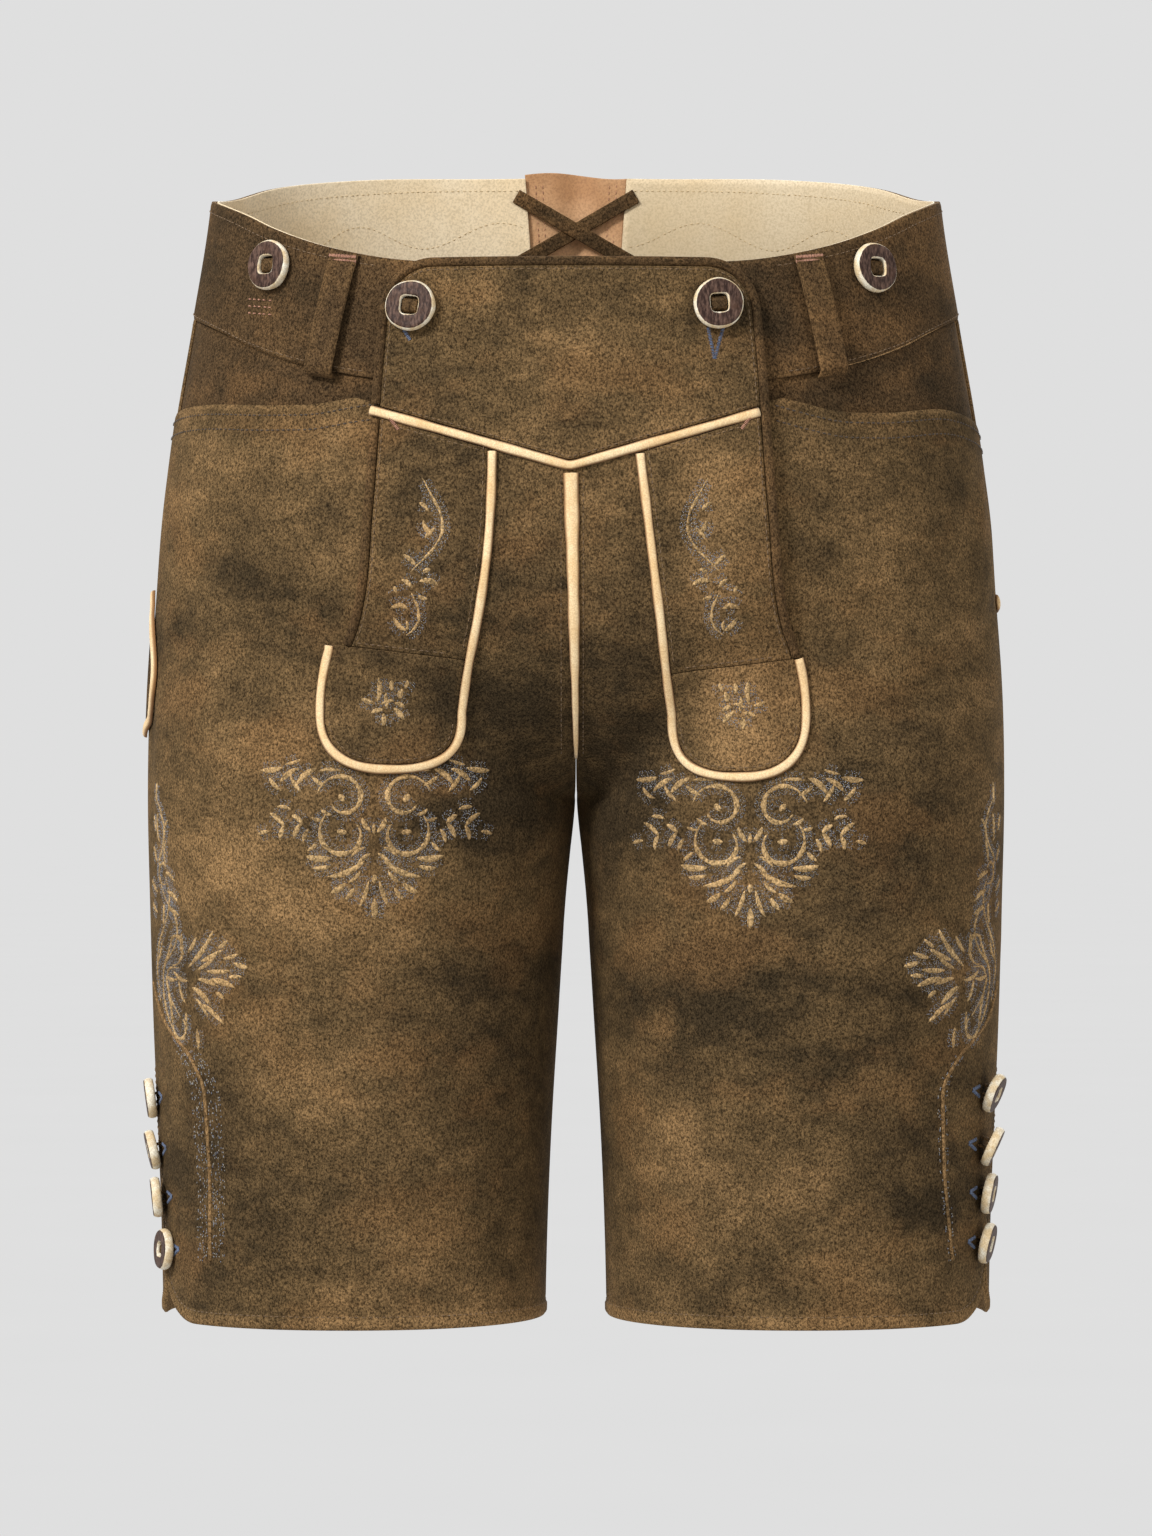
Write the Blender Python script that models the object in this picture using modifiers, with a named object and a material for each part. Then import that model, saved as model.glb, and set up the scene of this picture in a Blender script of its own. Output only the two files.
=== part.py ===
"""Short leather trousers with a drop-front flap, in the hollow form that they have when worn.

The wearer's waist holds them up, so the origin is the middle of the waist, halfway up the waistband
at the sides. +Z is up, the front faces -Y and the wearer's left is +X. All sizes are in metres.

Each half of the garment is one skin, a function of a girth share s and a height z. s runs from the
front middle (or the inside of the leg) at 0, round the side at 0.5, to the back middle at 1.
Every panel is a stretch of that skin, and whatever lies on a panel is the same skin moved out.
"""

import math

import bmesh
import bpy
import numpy as np
from mathutils import Matrix, Vector

# Heights
HEM_Z = -0.513
CROTCH_Z = -0.262
SEAT_Z = -0.150
UNDERLAP_Z = (-0.485, -0.382)
GUSSET_TIP_Z = -0.075
FACING_END_Z = -0.122

# Waistband: its top edge dips in front and rises behind
BAND_TOP_COLUMNS = ("s", "z")
BAND_TOP = (
    (0.000, -0.0085),
    (0.173, -0.0050),
    (0.227, 0.0003),
    (0.313, 0.0119),
    (0.361, 0.0190),
    (0.430, 0.0258),
    (0.500, 0.0300),
    (0.636, 0.0359),
    (0.699, 0.0423),
    (0.823, 0.0497),
    (1.000, 0.0530),
)
BAND_HEIGHT = 0.0565

# Where the side seam and the slit's edge lie: they come forward towards the hem
SIDE_SEAM_COLUMNS = ("z", "s")
SIDE_SEAM = (
    (-0.525, 0.442),
    (-0.480, 0.449),
    (-0.430, 0.468),
    (-0.380, 0.489),
    (-0.330, 0.4995),
    (-0.270, 0.500),
    (0.065, 0.500),
)

# Pocket mouths, wearer's right and left: the left one hangs lower
MOUTH_COLUMNS = ("s", "right", "left")
MOUTH = (
    (0.000, -0.0700, -0.0700),
    (0.150, -0.0696, -0.0700),
    (0.175, -0.0712, -0.0736),
    (0.210, -0.0740, -0.0775),
    (0.250, -0.0740, -0.0778),
    (0.354, -0.0718, -0.0742),
    (0.410, -0.0722, -0.0764),
    (0.500, -0.0744, -0.0815),
)

# Thicknesses and gaps
LEATHER = 0.0016
BAND_LEATHER = 0.0024
LINING = 0.0012
SEAM = 0.0003
HALF_SEAM_S = 0.00025
UNDERLAP_S = 0.028
UNDERLAP_DROP = 0.0010

# How square the leg sections are: 2 is an ellipse
LEG_POWER = 2.15

# body_power is how square the body's section is
SECTION_COLUMNS = (
    "z", "half_width", "inner_x", "leg_front", "leg_back", "body_front", "body_back", "body_power"
)
SECTIONS = (
    (-0.525, 0.2016, 0.0150, 0.0980, 0.0980, 0.1200, 0.1300, 2.25),
    (-0.502, 0.2020, 0.0147, 0.0990, 0.0990, 0.1200, 0.1300, 2.25),
    (-0.458, 0.2030, 0.0135, 0.1020, 0.1010, 0.1200, 0.1300, 2.25),
    (-0.414, 0.2048, 0.0115, 0.1050, 0.1030, 0.1200, 0.1300, 2.25),
    (-0.370, 0.2066, 0.0088, 0.1080, 0.1050, 0.1200, 0.1310, 2.25),
    (-0.311, 0.2083, 0.0051, 0.1110, 0.1080, 0.1205, 0.1325, 2.25),
    (-0.262, 0.2094, 0.0012, 0.1130, 0.1130, 0.1220, 0.1360, 2.25),
    (-0.208, 0.2085, 0.0006, 0.1155, 0.1180, 0.1255, 0.1410, 2.25),
    (-0.164, 0.2055, 0.0003, 0.1175, 0.1210, 0.1265, 0.1420, 2.25),
    (-0.120, 0.2019, 0.0003, 0.1180, 0.1220, 0.1260, 0.1390, 2.20),
    (-0.076, 0.1960, 0.0003, 0.1180, 0.1220, 0.1230, 0.1330, 2.10),
    (-0.032, 0.1884, 0.0003, 0.1180, 0.1220, 0.1200, 0.1260, 2.02),
    (0.027, 0.1790, 0.0003, 0.1180, 0.1220, 0.1160, 0.1190, 2.00),
    (0.065, 0.1760, 0.0003, 0.1180, 0.1220, 0.1140, 0.1165, 2.00),
)

# Soft folds: side -1 is the wearer's right, both is 0. turn is in degrees from upright, a
# positive depth is a ridge, and long and wide are half sizes
FOLD_COLUMNS = ("side", "s", "z", "turn", "long", "wide", "depth")
FOLDS = (
    (0, 0.075, -0.232, 38, 0.045, 0.016, -0.0026),
    (0, 0.130, -0.262, 52, 0.050, 0.015, 0.0016),
    (-1, 0.455, -0.235, 8, 0.045, 0.012, -0.0022),
    (-1, 0.420, -0.262, 30, 0.036, 0.012, 0.0016),
    (1, 0.360, -0.165, 58, 0.060, 0.018, 0.0024),
    (1, 0.330, -0.215, 62, 0.055, 0.016, -0.0018),
    (-1, 0.330, -0.150, -50, 0.050, 0.018, -0.0018),
    (0, 0.905, -0.240, -40, 0.055, 0.016, -0.0030),
    (0, 0.860, -0.285, -58, 0.060, 0.018, 0.0022),
    (1, 0.700, -0.130, 20, 0.060, 0.022, -0.0020),
    (-1, 0.680, -0.160, -18, 0.065, 0.022, -0.0020),
    (0, 0.740, -0.350, 70, 0.060, 0.020, 0.0018),
    (-1, 0.250, -0.400, 80, 0.060, 0.022, 0.0012),
    (1, 0.220, -0.420, 100, 0.065, 0.022, 0.0012),
)
GIRTH = 0.62

# Drop-front flap: its middle lies a little to the wearer's right
FLAP_X = -0.0030
FLAP_TOP_Z = -0.0055
FLAP_CORNER = 0.0250
FLAP_WIDTH_COLUMNS = ("z", "half_width")
FLAP_WIDTH = (
    (-0.2050, 0.1110),
    (-0.1888, 0.1075),
    (-0.1817, 0.1046),
    (-0.1671, 0.1008),
    (-0.1284, 0.0970),
    (-0.0633, 0.0922),
    (-0.0255, 0.0893),
    (0.0000, 0.0888),
)
POINT_Z = -0.1048
POINT_SLOPE = 0.290
FREE_EDGE_LIFT = {1: 0.0042, -1: 0.0012}
LIFT_START_Z = -0.188
LIFT_INNER_X = 0.045
LIFT_OUTER_X = 0.100

# How far the pocket mouths stand open beside the flap, and where along the girth
MOUTH_GAPE = {1: 0.0020, -1: 0.0006}
MOUTH_GAPE_S = 0.19
MOUTH_GAPE_WIDE = 0.06

# Inner edges of the two strips below the bib, measured out from the flap's middle
STRIP_EDGE_COLUMNS = ("z", "right", "left")
STRIP_EDGE = (
    (-0.2223, 0.0514, 0.0484),
    (-0.2000, 0.0480, 0.0453),
    (-0.1718, 0.0424, 0.0420),
    (-0.1501, 0.0392, 0.0392),
    (-0.1208, 0.0369, 0.0357),
    (-0.0987, 0.0363, 0.0330),
    (-0.0800, 0.0361, 0.0312),
)

# Feet of the strips. The seam between strip and foot passes seam_z at the strip's inner edge
FOOT_COLUMNS = ("middle", "half_width", "shoulder_z", "depth", "seam_z", "seam_slope", "top_z")
FEET = {
    -1: (0.08445, 0.03335, -0.2200, 0.0272, -0.1954, 0.116, -0.1884),
    1: (0.0799, 0.0316, -0.2214, 0.0294, -0.2020, 0.121, -0.1946),
}
FOOT_POWER = 2.5

# Welts, edging, laces and loops: width and height
WELT = (0.0044, 0.0021)
POCKET_WELT = (0.0056, 0.0024)
POINT_WELT = (0.0046, 0.0024)
CENTRE_WELT = (0.0070, 0.0020)
CENTRE_WELT_TAPER = 0.72
CENTRE_WELT_END_Z = -0.2400
EDGING = (0.0044, 0.0028)
BACK_POCKET_WELT = (0.0074, 0.0018)
LOOP = (0.0150, 0.0022)
LACE = (0.0074, 0.0014)

# Belt loops: their height off the band along their length, and how far they reach below it
LOOP_STAND_COLUMNS = ("share", "height")
LOOP_STAND = (
    (0.00, 0.0004),
    (0.06, 0.0008),
    (0.20, 0.0024),
    (0.55, 0.0036),
    (0.93, 0.0038),
    (0.98, 0.0028),
    (1.00, 0.0008),
)
LOOP_OVERHANG = 0.0008
LOOP_FOLD_SHARE = 0.97

# Horn buttons: outer radius, hole radius, thickness
BIG_BUTTON = (0.01225, 0.0054, 0.0050)
LEG_BUTTON = (0.0100, 0.0042, 0.0048)
BUTTON_STEPS = 16
BUTTON_EDGE = 0.0016
FLAP_BUTTON_SHANK = 0.0010

# Back lacing: the eyelets' places, (x, z), the laces' bows, the gusset's fold and wall, and the
# half gap that the gusset fills
UPPER_EYELET = (0.0310, 0.0445)
LOWER_EYELET = (0.0290, 0.0110)
LACE_BOWS = {"over": 0.0024, "under": 0.0004, "outside": 0.0026}
GUSSET_LEATHER = 0.0014
GUSSET_FOLD = 0.0028
GUSSET_FOLD_SHARE = 0.28
GUSSET_TOP_Z = 0.0548
GUSSET_TOP_WAVE = 0.0016
GAP_COLUMNS = ("z", "half_gap")
GAP = ((-0.120, 0.0002), (GUSSET_TIP_Z, 0.0006), (-0.003, 0.0220), (0.060, 0.0266))

# Buttons of the side slits. yaw turns a face to the front and pitch turns it down, in degrees
LEG_BUTTON_COLUMNS = ("side", "s", "z", "yaw", "pitch")
LEG_BUTTONS = (
    (1, 0.426, -0.4020, -6, 20),
    (1, 0.423, -0.4275, -16, 22),
    (1, 0.428, -0.4510, -10, 8),
    (1, 0.427, -0.4750, -8, 10),
    (-1, 0.464, -0.4065, -4, 5),
    (-1, 0.458, -0.4310, -4, 10),
    (-1, 0.448, -0.4540, -10, 4),
    (-1, 0.436, -0.4790, 2, -4),
)

# Knife pocket: how far its curved mouth reaches in front of the side seam, from its top to its foot
KNIFE_POCKET_COLUMNS = ("z", "forward")
KNIFE_POCKET = (
    (-0.1615, 0.0060),
    (-0.1690, 0.0180),
    (-0.1790, 0.0315),
    (-0.1900, 0.0405),
    (-0.1990, 0.0430),
    (-0.2080, 0.0390),
    (-0.2160, 0.0290),
    (-0.2230, 0.0170),
    (-0.2290, 0.0060),
)
KNIFE_POCKET_LEATHER = 0.0010
BACK_POCKET_Z = -0.1655

# Buttons on the waistband and the flap. turn is in degrees about the button's own axis
BIG_BUTTON_COLUMNS = ("name", "place", "x", "z", "turn")
BIG_BUTTONS = (
    ("flap_{}_left", "flap", 0.0657, -0.0281, 4),
    ("flap_{}_right", "flap", -0.0765, -0.0290, -6),
    ("brace_{}_front_left", "front", 0.1410, -0.0080, 0),
    ("brace_{}_front_right", "front", -0.1450, -0.0065, 0),
    ("brace_{}_back_left", "back", 0.0930, 0.0190, 0),
    ("brace_{}_back_right", "back", -0.0930, 0.0190, 0),
)

MATERIALS = {
    "outer_suede": ((0.130, 0.085, 0.045), 0.92),
    "dark_suede": ((0.075, 0.052, 0.033), 0.92),
    "piping_leather": ((0.680, 0.470, 0.235), 0.70),
    "lining_leather": ((0.800, 0.680, 0.480), 0.75),
    "gusset_leather": ((0.560, 0.330, 0.200), 0.72),
    "horn": ((0.180, 0.140, 0.120), 0.35),
}


def rows(table, columns):
    """The table's rows, each with its values under their columns' names."""
    return [dict(zip(columns, row)) for row in table]


def named(table, columns, column):
    """One named column of a table, with the table's first column."""
    values = np.array(table)
    return values[:, 0], values[:, columns.index(column)]


def smooth(at, stations, values):
    """A cubic curve through the stations' values, with each slope taken from the neighbours."""
    slopes = np.gradient(values, stations)
    row = np.clip(np.searchsorted(stations, at) - 1, 0, len(stations) - 2)
    span = stations[row + 1] - stations[row]
    t = np.clip((at - stations[row]) / span, 0, 1)
    start = (1 + 2 * t) * (1 - t) ** 2 * values[row] + t * (1 - t) ** 2 * span * slopes[row]
    return start + t * t * (3 - 2 * t) * values[row + 1] - t * t * (1 - t) * span * slopes[row + 1]


def section(column, z):
    return smooth(z, *named(SECTIONS, SECTION_COLUMNS, column))


def rounded(angle, power):
    """Sine and cosine, pushed out from the circle towards a square with round corners."""
    push = (np.abs(np.sin(angle)) ** power + np.abs(np.cos(angle)) ** power) ** (-1 / power)
    return np.sin(angle) * push, np.cos(angle) * push


def body_section(s, z):
    """Half of the waist or hip section, from the front middle round the side to the back middle."""
    out, ahead = rounded(np.pi * s, section("body_power", z))
    depth = np.where(ahead > 0, section("body_front", z), section("body_back", z))
    return section("half_width", z) * out, -depth * ahead


def leg_section(s, z):
    """A whole leg section, from its inside round the front, the side and the back."""
    ahead, inward = rounded(2 * np.pi * s, LEG_POWER)
    inner, outer = section("inner_x", z), section("half_width", z)
    depth = np.where(ahead > 0, section("leg_front", z), section("leg_back", z))
    return (inner + outer) / 2 - (outer - inner) / 2 * inward, -depth * ahead


def body_share(s, z):
    """0 on a leg and 1 on the body. Near the middle it is a quarter circle, the crotch seam's curve."""
    rise = np.clip((z - CROTCH_Z) / (SEAT_Z - CROTCH_Z), 0, 1)
    middle = np.cos(np.pi * s) ** 6
    return middle * np.sqrt(rise * (2 - rise)) + (1 - middle) * rise * rise * (3 - 2 * rise)


def bare_skin(side, s, z):
    share = body_share(s, z)
    body, leg = body_section(s, z), leg_section(s, z)
    x = share * body[0] + (1 - share) * leg[0]
    y = share * body[1] + (1 - share) * leg[1]
    return np.stack([side * x, y, z + 0 * x], axis=-1)


def skin_normal(side, s, z, step=1e-4):
    """Outward normals, from differences of the bare skin along the girth and the height."""
    girth_step = step / GIRTH
    along = bare_skin(side, s + girth_step, z) - bare_skin(side, s - girth_step, z)
    up = bare_skin(side, s, z + step) - bare_skin(side, s, z - step)
    normal = np.cross(along, up) * np.reshape(side, np.shape(side) + (1,))
    return normal / np.linalg.norm(normal, axis=-1, keepdims=True)


def fold_height(side, s, z):
    """The folds' height at each place: each is a bell along and across its own line."""
    height = np.zeros(np.broadcast(side, s, z).shape)
    for fold in rows(FOLDS, FOLD_COLUMNS):
        across, up = (s - fold["s"]) * GIRTH, z - fold["z"]
        lean = math.radians(fold["turn"])
        along_line = up * math.cos(lean) + across * math.sin(lean)
        off_line = across * math.cos(lean) - up * math.sin(lean)
        reach = (along_line / fold["long"]) ** 2 + (off_line / fold["wide"]) ** 2
        bell = fold["depth"] * np.exp(-reach)
        height = height + np.where((fold["side"] == 0) | (side == fold["side"]), bell, 0)
    return height


def skin(side, s, z):
    """Points and outward normals of the garment's outer skin."""
    side, s, z = np.broadcast_arrays(side, np.asarray(s, float), np.asarray(z, float))
    normal = skin_normal(side, s, z)
    return bare_skin(side, s, z) + normal * fold_height(side, s, z)[..., None], normal


def girth_at(x, z, back=False):
    """The girth share at which the skin's front, or its back, is x from the middle."""
    low, high = (np.full(np.shape(x), 0.5), np.full(np.shape(x), 1.0))
    if not back:
        low, high = np.zeros(np.shape(x)), low
    for _ in range(30):
        middle = (low + high) / 2
        beyond = bare_skin(1, middle, z)[..., 0] < x
        beyond = beyond != back
        low, high = np.where(beyond, middle, low), np.where(beyond, high, middle)
    return (low + high) / 2


def skin_by_x(x, z, back=False):
    """Points and normals of the front, or the back, at signed distances x from the middle."""
    x, z = np.broadcast_arrays(np.asarray(x, float), np.asarray(z, float))
    side = np.where(x < 0, -1, 1)
    return skin(side, girth_at(np.abs(x), z, back), z)


def band_top(s):
    """Height of the waistband's top edge: low in front, high behind."""
    return smooth(s, *named(BAND_TOP, BAND_TOP_COLUMNS, "z"))


def band_bottom(s):
    return band_top(s) - BAND_HEIGHT


def side_seam(z):
    return smooth(z, *named(SIDE_SEAM, SIDE_SEAM_COLUMNS, "s"))


def half_gap(z):
    stations, values = named(GAP, GAP_COLUMNS, "half_gap")
    return np.interp(z, stations, values)


def point_line(x):
    """Height of the flap's pointed seam at x, measured from the flap's own middle."""
    return POINT_Z + POINT_SLOPE * np.abs(x)


def flap_half_width(z):
    return smooth(z, *named(FLAP_WIDTH, FLAP_WIDTH_COLUMNS, "half_width"))


def own_side(side):
    """The name of a table's column for one side of the garment."""
    return "left" if side > 0 else "right"


def strip_inner(side, z):
    return smooth(z, *named(STRIP_EDGE, STRIP_EDGE_COLUMNS, own_side(side)))


def foot(side, column):
    return FEET[side][FOOT_COLUMNS.index(column)]


def strip_end(side, x):
    """Height of the seam between a strip and its foot."""
    start = strip_inner(side, foot(side, "seam_z"))
    return foot(side, "seam_z") + foot(side, "seam_slope") * (x - start)


def flap_lift(x, z):
    """How far the flap stands off the panels: its free outer edges lift, one more than the other."""
    own = x - FLAP_X
    most = np.where(own > 0, FREE_EDGE_LIFT[1], FREE_EDGE_LIFT[-1])
    outward = np.clip((np.abs(own) - LIFT_INNER_X) / (LIFT_OUTER_X - LIFT_INNER_X), 0, 1.2)
    height = np.clip((z - LIFT_START_Z) / 0.030, 0, 1) * np.clip((0.012 - z) / 0.060, 0.35, 1)
    return 0.0002 + most * outward**2 * height


def mouth_lift(side, s, z):
    """The pocket mouth stands open a little beside the flap."""
    near_mouth = np.clip((z - MOUTH[0][1] + 0.035) / 0.030, 0, 1)
    bulge = MOUTH_GAPE[side] * np.exp(-(((s - MOUTH_GAPE_S) / MOUTH_GAPE_WIDE) ** 2))
    return SEAM * near_mouth + bulge * near_mouth**2


def new_material(name):
    colour, roughness = MATERIALS[name]
    material = bpy.data.materials.new(name)
    material.use_nodes = True
    shader = material.node_tree.nodes["Principled BSDF"]
    shader.inputs["Base Color"].default_value = (*colour, 1)
    shader.inputs["Roughness"].default_value = roughness
    shader.inputs["Metallic"].default_value = 0
    return material


def finish(name, mesh, material):
    """Links a mesh as a named object with outward faces and its material."""
    work = bmesh.new()
    work.from_mesh(mesh)
    bmesh.ops.recalc_face_normals(work, faces=work.faces)
    work.to_mesh(mesh)
    work.free()
    mesh.materials.append(bpy.data.materials[material])
    piece = bpy.data.objects.new(name, mesh)
    bpy.data.collections["drop_front_trousers"].objects.link(piece)
    return piece


def loft(name, rings, material):
    """A closed solid through rings of points. Its ends are ladders across the ring, from side to side."""
    stations, around = rings.shape[:2]
    corner = np.arange(stations * around).reshape(stations, around)
    turned = np.roll(corner, -1, axis=1)
    sides = np.stack([corner[:-1], turned[:-1], turned[1:], corner[1:]], axis=-1).reshape(-1, 4)
    half = around // 2
    ends = []
    for ring in (corner[0], corner[-1]):
        there, back = ring[:half], ring[::-1][:half]
        ends.append(np.stack([there[:-1], there[1:], back[1:], back[:-1]], axis=-1))
    mesh = bpy.data.meshes.new(name)
    mesh.from_pydata(rings.reshape(-1, 3).tolist(), [], np.concatenate([sides, *ends]).tolist())
    return finish(name, mesh, material)


def wall(name, surface, lift, thick, material):
    """A cloth wall on a grid of the skin. Its outer face is moved out by lift."""
    points, normals = surface
    lift = np.broadcast_to(lift, points.shape[:2])[..., None]
    outer = points + normals * lift
    inner = points + normals * (lift - thick)
    return loft(name, np.concatenate([outer, inner[:, ::-1]], axis=1), material)


def run(name, points, normals, profile, material):
    """A strip along a path: the profile's points are (across, out) at each station."""
    along = np.gradient(points, axis=0)
    along /= np.linalg.norm(along, axis=-1, keepdims=True)
    across = np.cross(normals, along)
    across /= np.linalg.norm(across, axis=-1, keepdims=True)
    profile = np.broadcast_to(profile, (len(points), *np.shape(profile)[-2:]))
    sideways, out = profile[..., :1], profile[..., 1:]
    return loft(name, points[:, None] + across[:, None] * sideways + normals[:, None] * out, material)


def bead(width, height):
    """A welt's profile: a flat foot under a low round back, as pairs that face each other."""
    back = [(-0.50, 0.40), (0.0, 1.0), (0.50, 0.40)]
    under = [(0.46, 0.0), (0.0, 0.0), (-0.46, 0.0)]
    return np.array(back + under) * (width, height)


def flat(width, height):
    """A strap's profile: a rectangle."""
    return np.array([(-width / 2, height), (width / 2, height), (width / 2, 0), (-width / 2, 0)])


def steps(start, end, count):
    return np.linspace(start, end, count)[:, None]


def fine_ends(count, edge_shares):
    """Column places from 0 to 1, even but for extra ones near 1, where a corner is rounded."""
    return np.concatenate([np.linspace(0, 1 - edge_shares[0], count), 1 - np.array(edge_shares[1:])])


# Girth columns from the middle (0) to the side (1). The layers beneath use the same ones.
SIDE_COLUMNS = fine_ends(13, (0.110, 0.075, 0.052, 0.026, 0.010, 0.0))
PLAIN_COLUMNS = fine_ends(13, (0.110, 0.052, 0.0))
LEG_ROWS = 10
CROTCH_ROWS = 6
SLIT_CORNER = (0.036, 0.026)


def leg_heights(bottom, top):
    """Row heights of a leg panel: even down the leg, close together where the crotch seam turns."""
    leg = bottom + (CROTCH_Z - bottom) * np.linspace(0, 1, LEG_ROWS)[:, None]
    turn = 1 - np.cos(np.pi / 2 * steps(1 / CROTCH_ROWS, 1, CROTCH_ROWS))
    seat = CROTCH_Z + (SEAT_Z - CROTCH_Z) * turn + 0 * bottom
    upper = SEAT_Z + (top - SEAT_Z) * steps(1 / 3, 1, 3)
    return np.concatenate([leg, seat, upper])


def hem_line(columns):
    """The hem's height, which rises round the corner at the side slit."""
    inside = np.clip(1 - (1 - columns) * GIRTH / 2 / SLIT_CORNER[0], 0, 1)
    return HEM_Z + SLIT_CORNER[1] * (1 - np.sqrt(1 - inside**2)) * 0.95


def mouth_line(side, s):
    return smooth(s, *named(MOUTH, MOUTH_COLUMNS, own_side(side)))


def front_top(side, s):
    """A front panel reaches up to the pocket mouth, and in the middle to just above the pointed seam."""
    mouth = mouth_line(side, s)
    x = side * bare_skin(1, s, mouth)[..., 0] - FLAP_X
    return np.minimum(point_line(x) + 0.0040, mouth)


def front_panel(side, name):
    top = front_top(side, HALF_SEAM_S + SIDE_COLUMNS * (0.5 - 2 * HALF_SEAM_S))
    z = leg_heights(hem_line(SIDE_COLUMNS), top)
    s = HALF_SEAM_S + SIDE_COLUMNS * (side_seam(z) - 2 * HALF_SEAM_S)
    wall(name, skin(side, s, z), mouth_lift(side, s, z), LEATHER, "outer_suede")


def back_end(z):
    """The girth share at which the back ends: at the middle, or at the gusset's edge higher up."""
    edge = girth_at(half_gap(z) + SEAM / 2, z, back=True)
    return np.where(z > GUSSET_TIP_Z, edge, 1 - HALF_SEAM_S)


def back_girths(columns, z):
    start = side_seam(z) + HALF_SEAM_S
    return start + columns * (back_end(z) - start)


def back_panel(side, name):
    columns = (1 - SIDE_COLUMNS)[::-1]
    top = band_bottom(0.5 + columns / 2) - SEAM
    z = leg_heights(hem_line(1 - columns), top)
    z = np.concatenate([z[:-3], SEAT_Z + (top - SEAT_Z) * steps(1 / 5, 1, 5)])
    wall(name, skin(side, back_girths(columns, z), z), 0, LEATHER, "outer_suede")


def waist_girths(z_of, count):
    """Girth shares of the waistband's grid: its front columns, then its back ones to the gap."""
    front = HALF_SEAM_S + PLAIN_COLUMNS[:-1] * (0.5 - HALF_SEAM_S)
    back = np.linspace(0, 1, 15)
    plain = np.concatenate([front, 0.5 + back / 2])
    z = z_of(plain, np.linspace(0, 1, count)[:, None])
    ends = back_end(z[:, -1:])
    return np.concatenate([front + 0 * ends, 0.5 + back * (ends - 0.5)], axis=1), z


def waistband(side, name):
    s, z = waist_girths(lambda s, up: band_bottom(s) + BAND_HEIGHT * up, 4)
    wall(name, skin(side, s, z), 0, BAND_LEATHER, "dark_suede")


def waist_lining(side, name):
    s, z = waist_girths(lambda s, up: band_bottom(s) + 0.0006 + (BAND_HEIGHT - 0.0012) * up, 4)
    wall(name, skin(side, s, z), -BAND_LEATHER - SEAM, LINING, "lining_leather")


def hip_facing(side, name):
    """The facing behind the pocket mouth, which runs on under the flap to the front middle."""
    s = HALF_SEAM_S + PLAIN_COLUMNS * (0.5 - 2 * HALF_SEAM_S)
    top = band_bottom(s) - SEAM
    z = FACING_END_Z + (top - FACING_END_Z) * steps(0, 1, 6)
    wall(name, skin(side, s + 0 * z, z), -LEATHER - 2 * SEAM, LEATHER, "dark_suede")


def slit_underlap(side, name):
    """The strip behind the buttoned side slit."""
    z = steps(*UNDERLAP_Z, 5)
    s = side_seam(z) + UNDERLAP_S * np.linspace(-1, 1, 9)
    wall(name, skin(side, s, z), -LEATHER - UNDERLAP_DROP, LEATHER, "dark_suede")


def back_gusset():
    """The wedge in the laced gap. A soft upright fold stands out along its middle."""
    share = np.linspace(-1, 1, 9)
    top = GUSSET_TOP_Z + GUSSET_TOP_WAVE * np.cos(2.4 * share + 1.2)
    bottom = GUSSET_TIP_Z + 0.006
    z = bottom + (top - bottom) * steps(0, 1, 8)
    x = share * (half_gap(z) - SEAM / 2)
    points, normals = skin_by_x(x, z, back=True)
    fold = GUSSET_FOLD * np.exp(-((share / GUSSET_FOLD_SHARE) ** 2))
    lift = fold * np.clip((z - GUSSET_TIP_Z) / 0.06, 0, 1) - 2 * SEAM
    wall("back_gusset", (points, normals), lift, GUSSET_LEATHER, "gusset_leather")


def front_flap():
    """The bib: from the pointed seam to the edging, with round top corners."""
    share = np.linspace(-1, 1, 17)
    low_x = share * (flap_half_width(-0.08) - EDGING[0] - SEAM)
    top = FLAP_TOP_Z - EDGING[0] - SEAM
    corner = FLAP_CORNER - EDGING[0] - SEAM
    shoulder = top - corner
    low = point_line(low_x) + POINT_WELT[0] / 2 + 3 * SEAM
    straight = low + (shoulder - low) * steps(0, 1, 6)
    bend = shoulder + corner * np.sin(np.pi / 2 * steps(1 / 6, 1, 6)) + 0 * low
    z = np.concatenate([straight, bend])
    above = np.clip((z - shoulder) / corner, 0, 1)
    half = flap_half_width(z) - EDGING[0] - SEAM - corner * (1 - np.sqrt(1 - above**2))
    x = FLAP_X + share * half
    wall("front_flap", skin_by_x(x, z), flap_lift(x, z) + LEATHER + SEAM, LEATHER, "outer_suede")


def edging_run(name, x, z):
    """A stretch of the rolled edge along (x, z), with x from the flap's middle."""
    points, normals = skin_by_x(FLAP_X + x, z)
    points = points + normals * (flap_lift(FLAP_X + x, z) + SEAM)[:, None]
    run(name, points, normals, bead(*EDGING), "dark_suede")


def edging_end(side):
    """Height of the edging's lower end, just above the foot."""
    return strip_end(side, flap_half_width(-0.188)) + 0.0006


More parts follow.
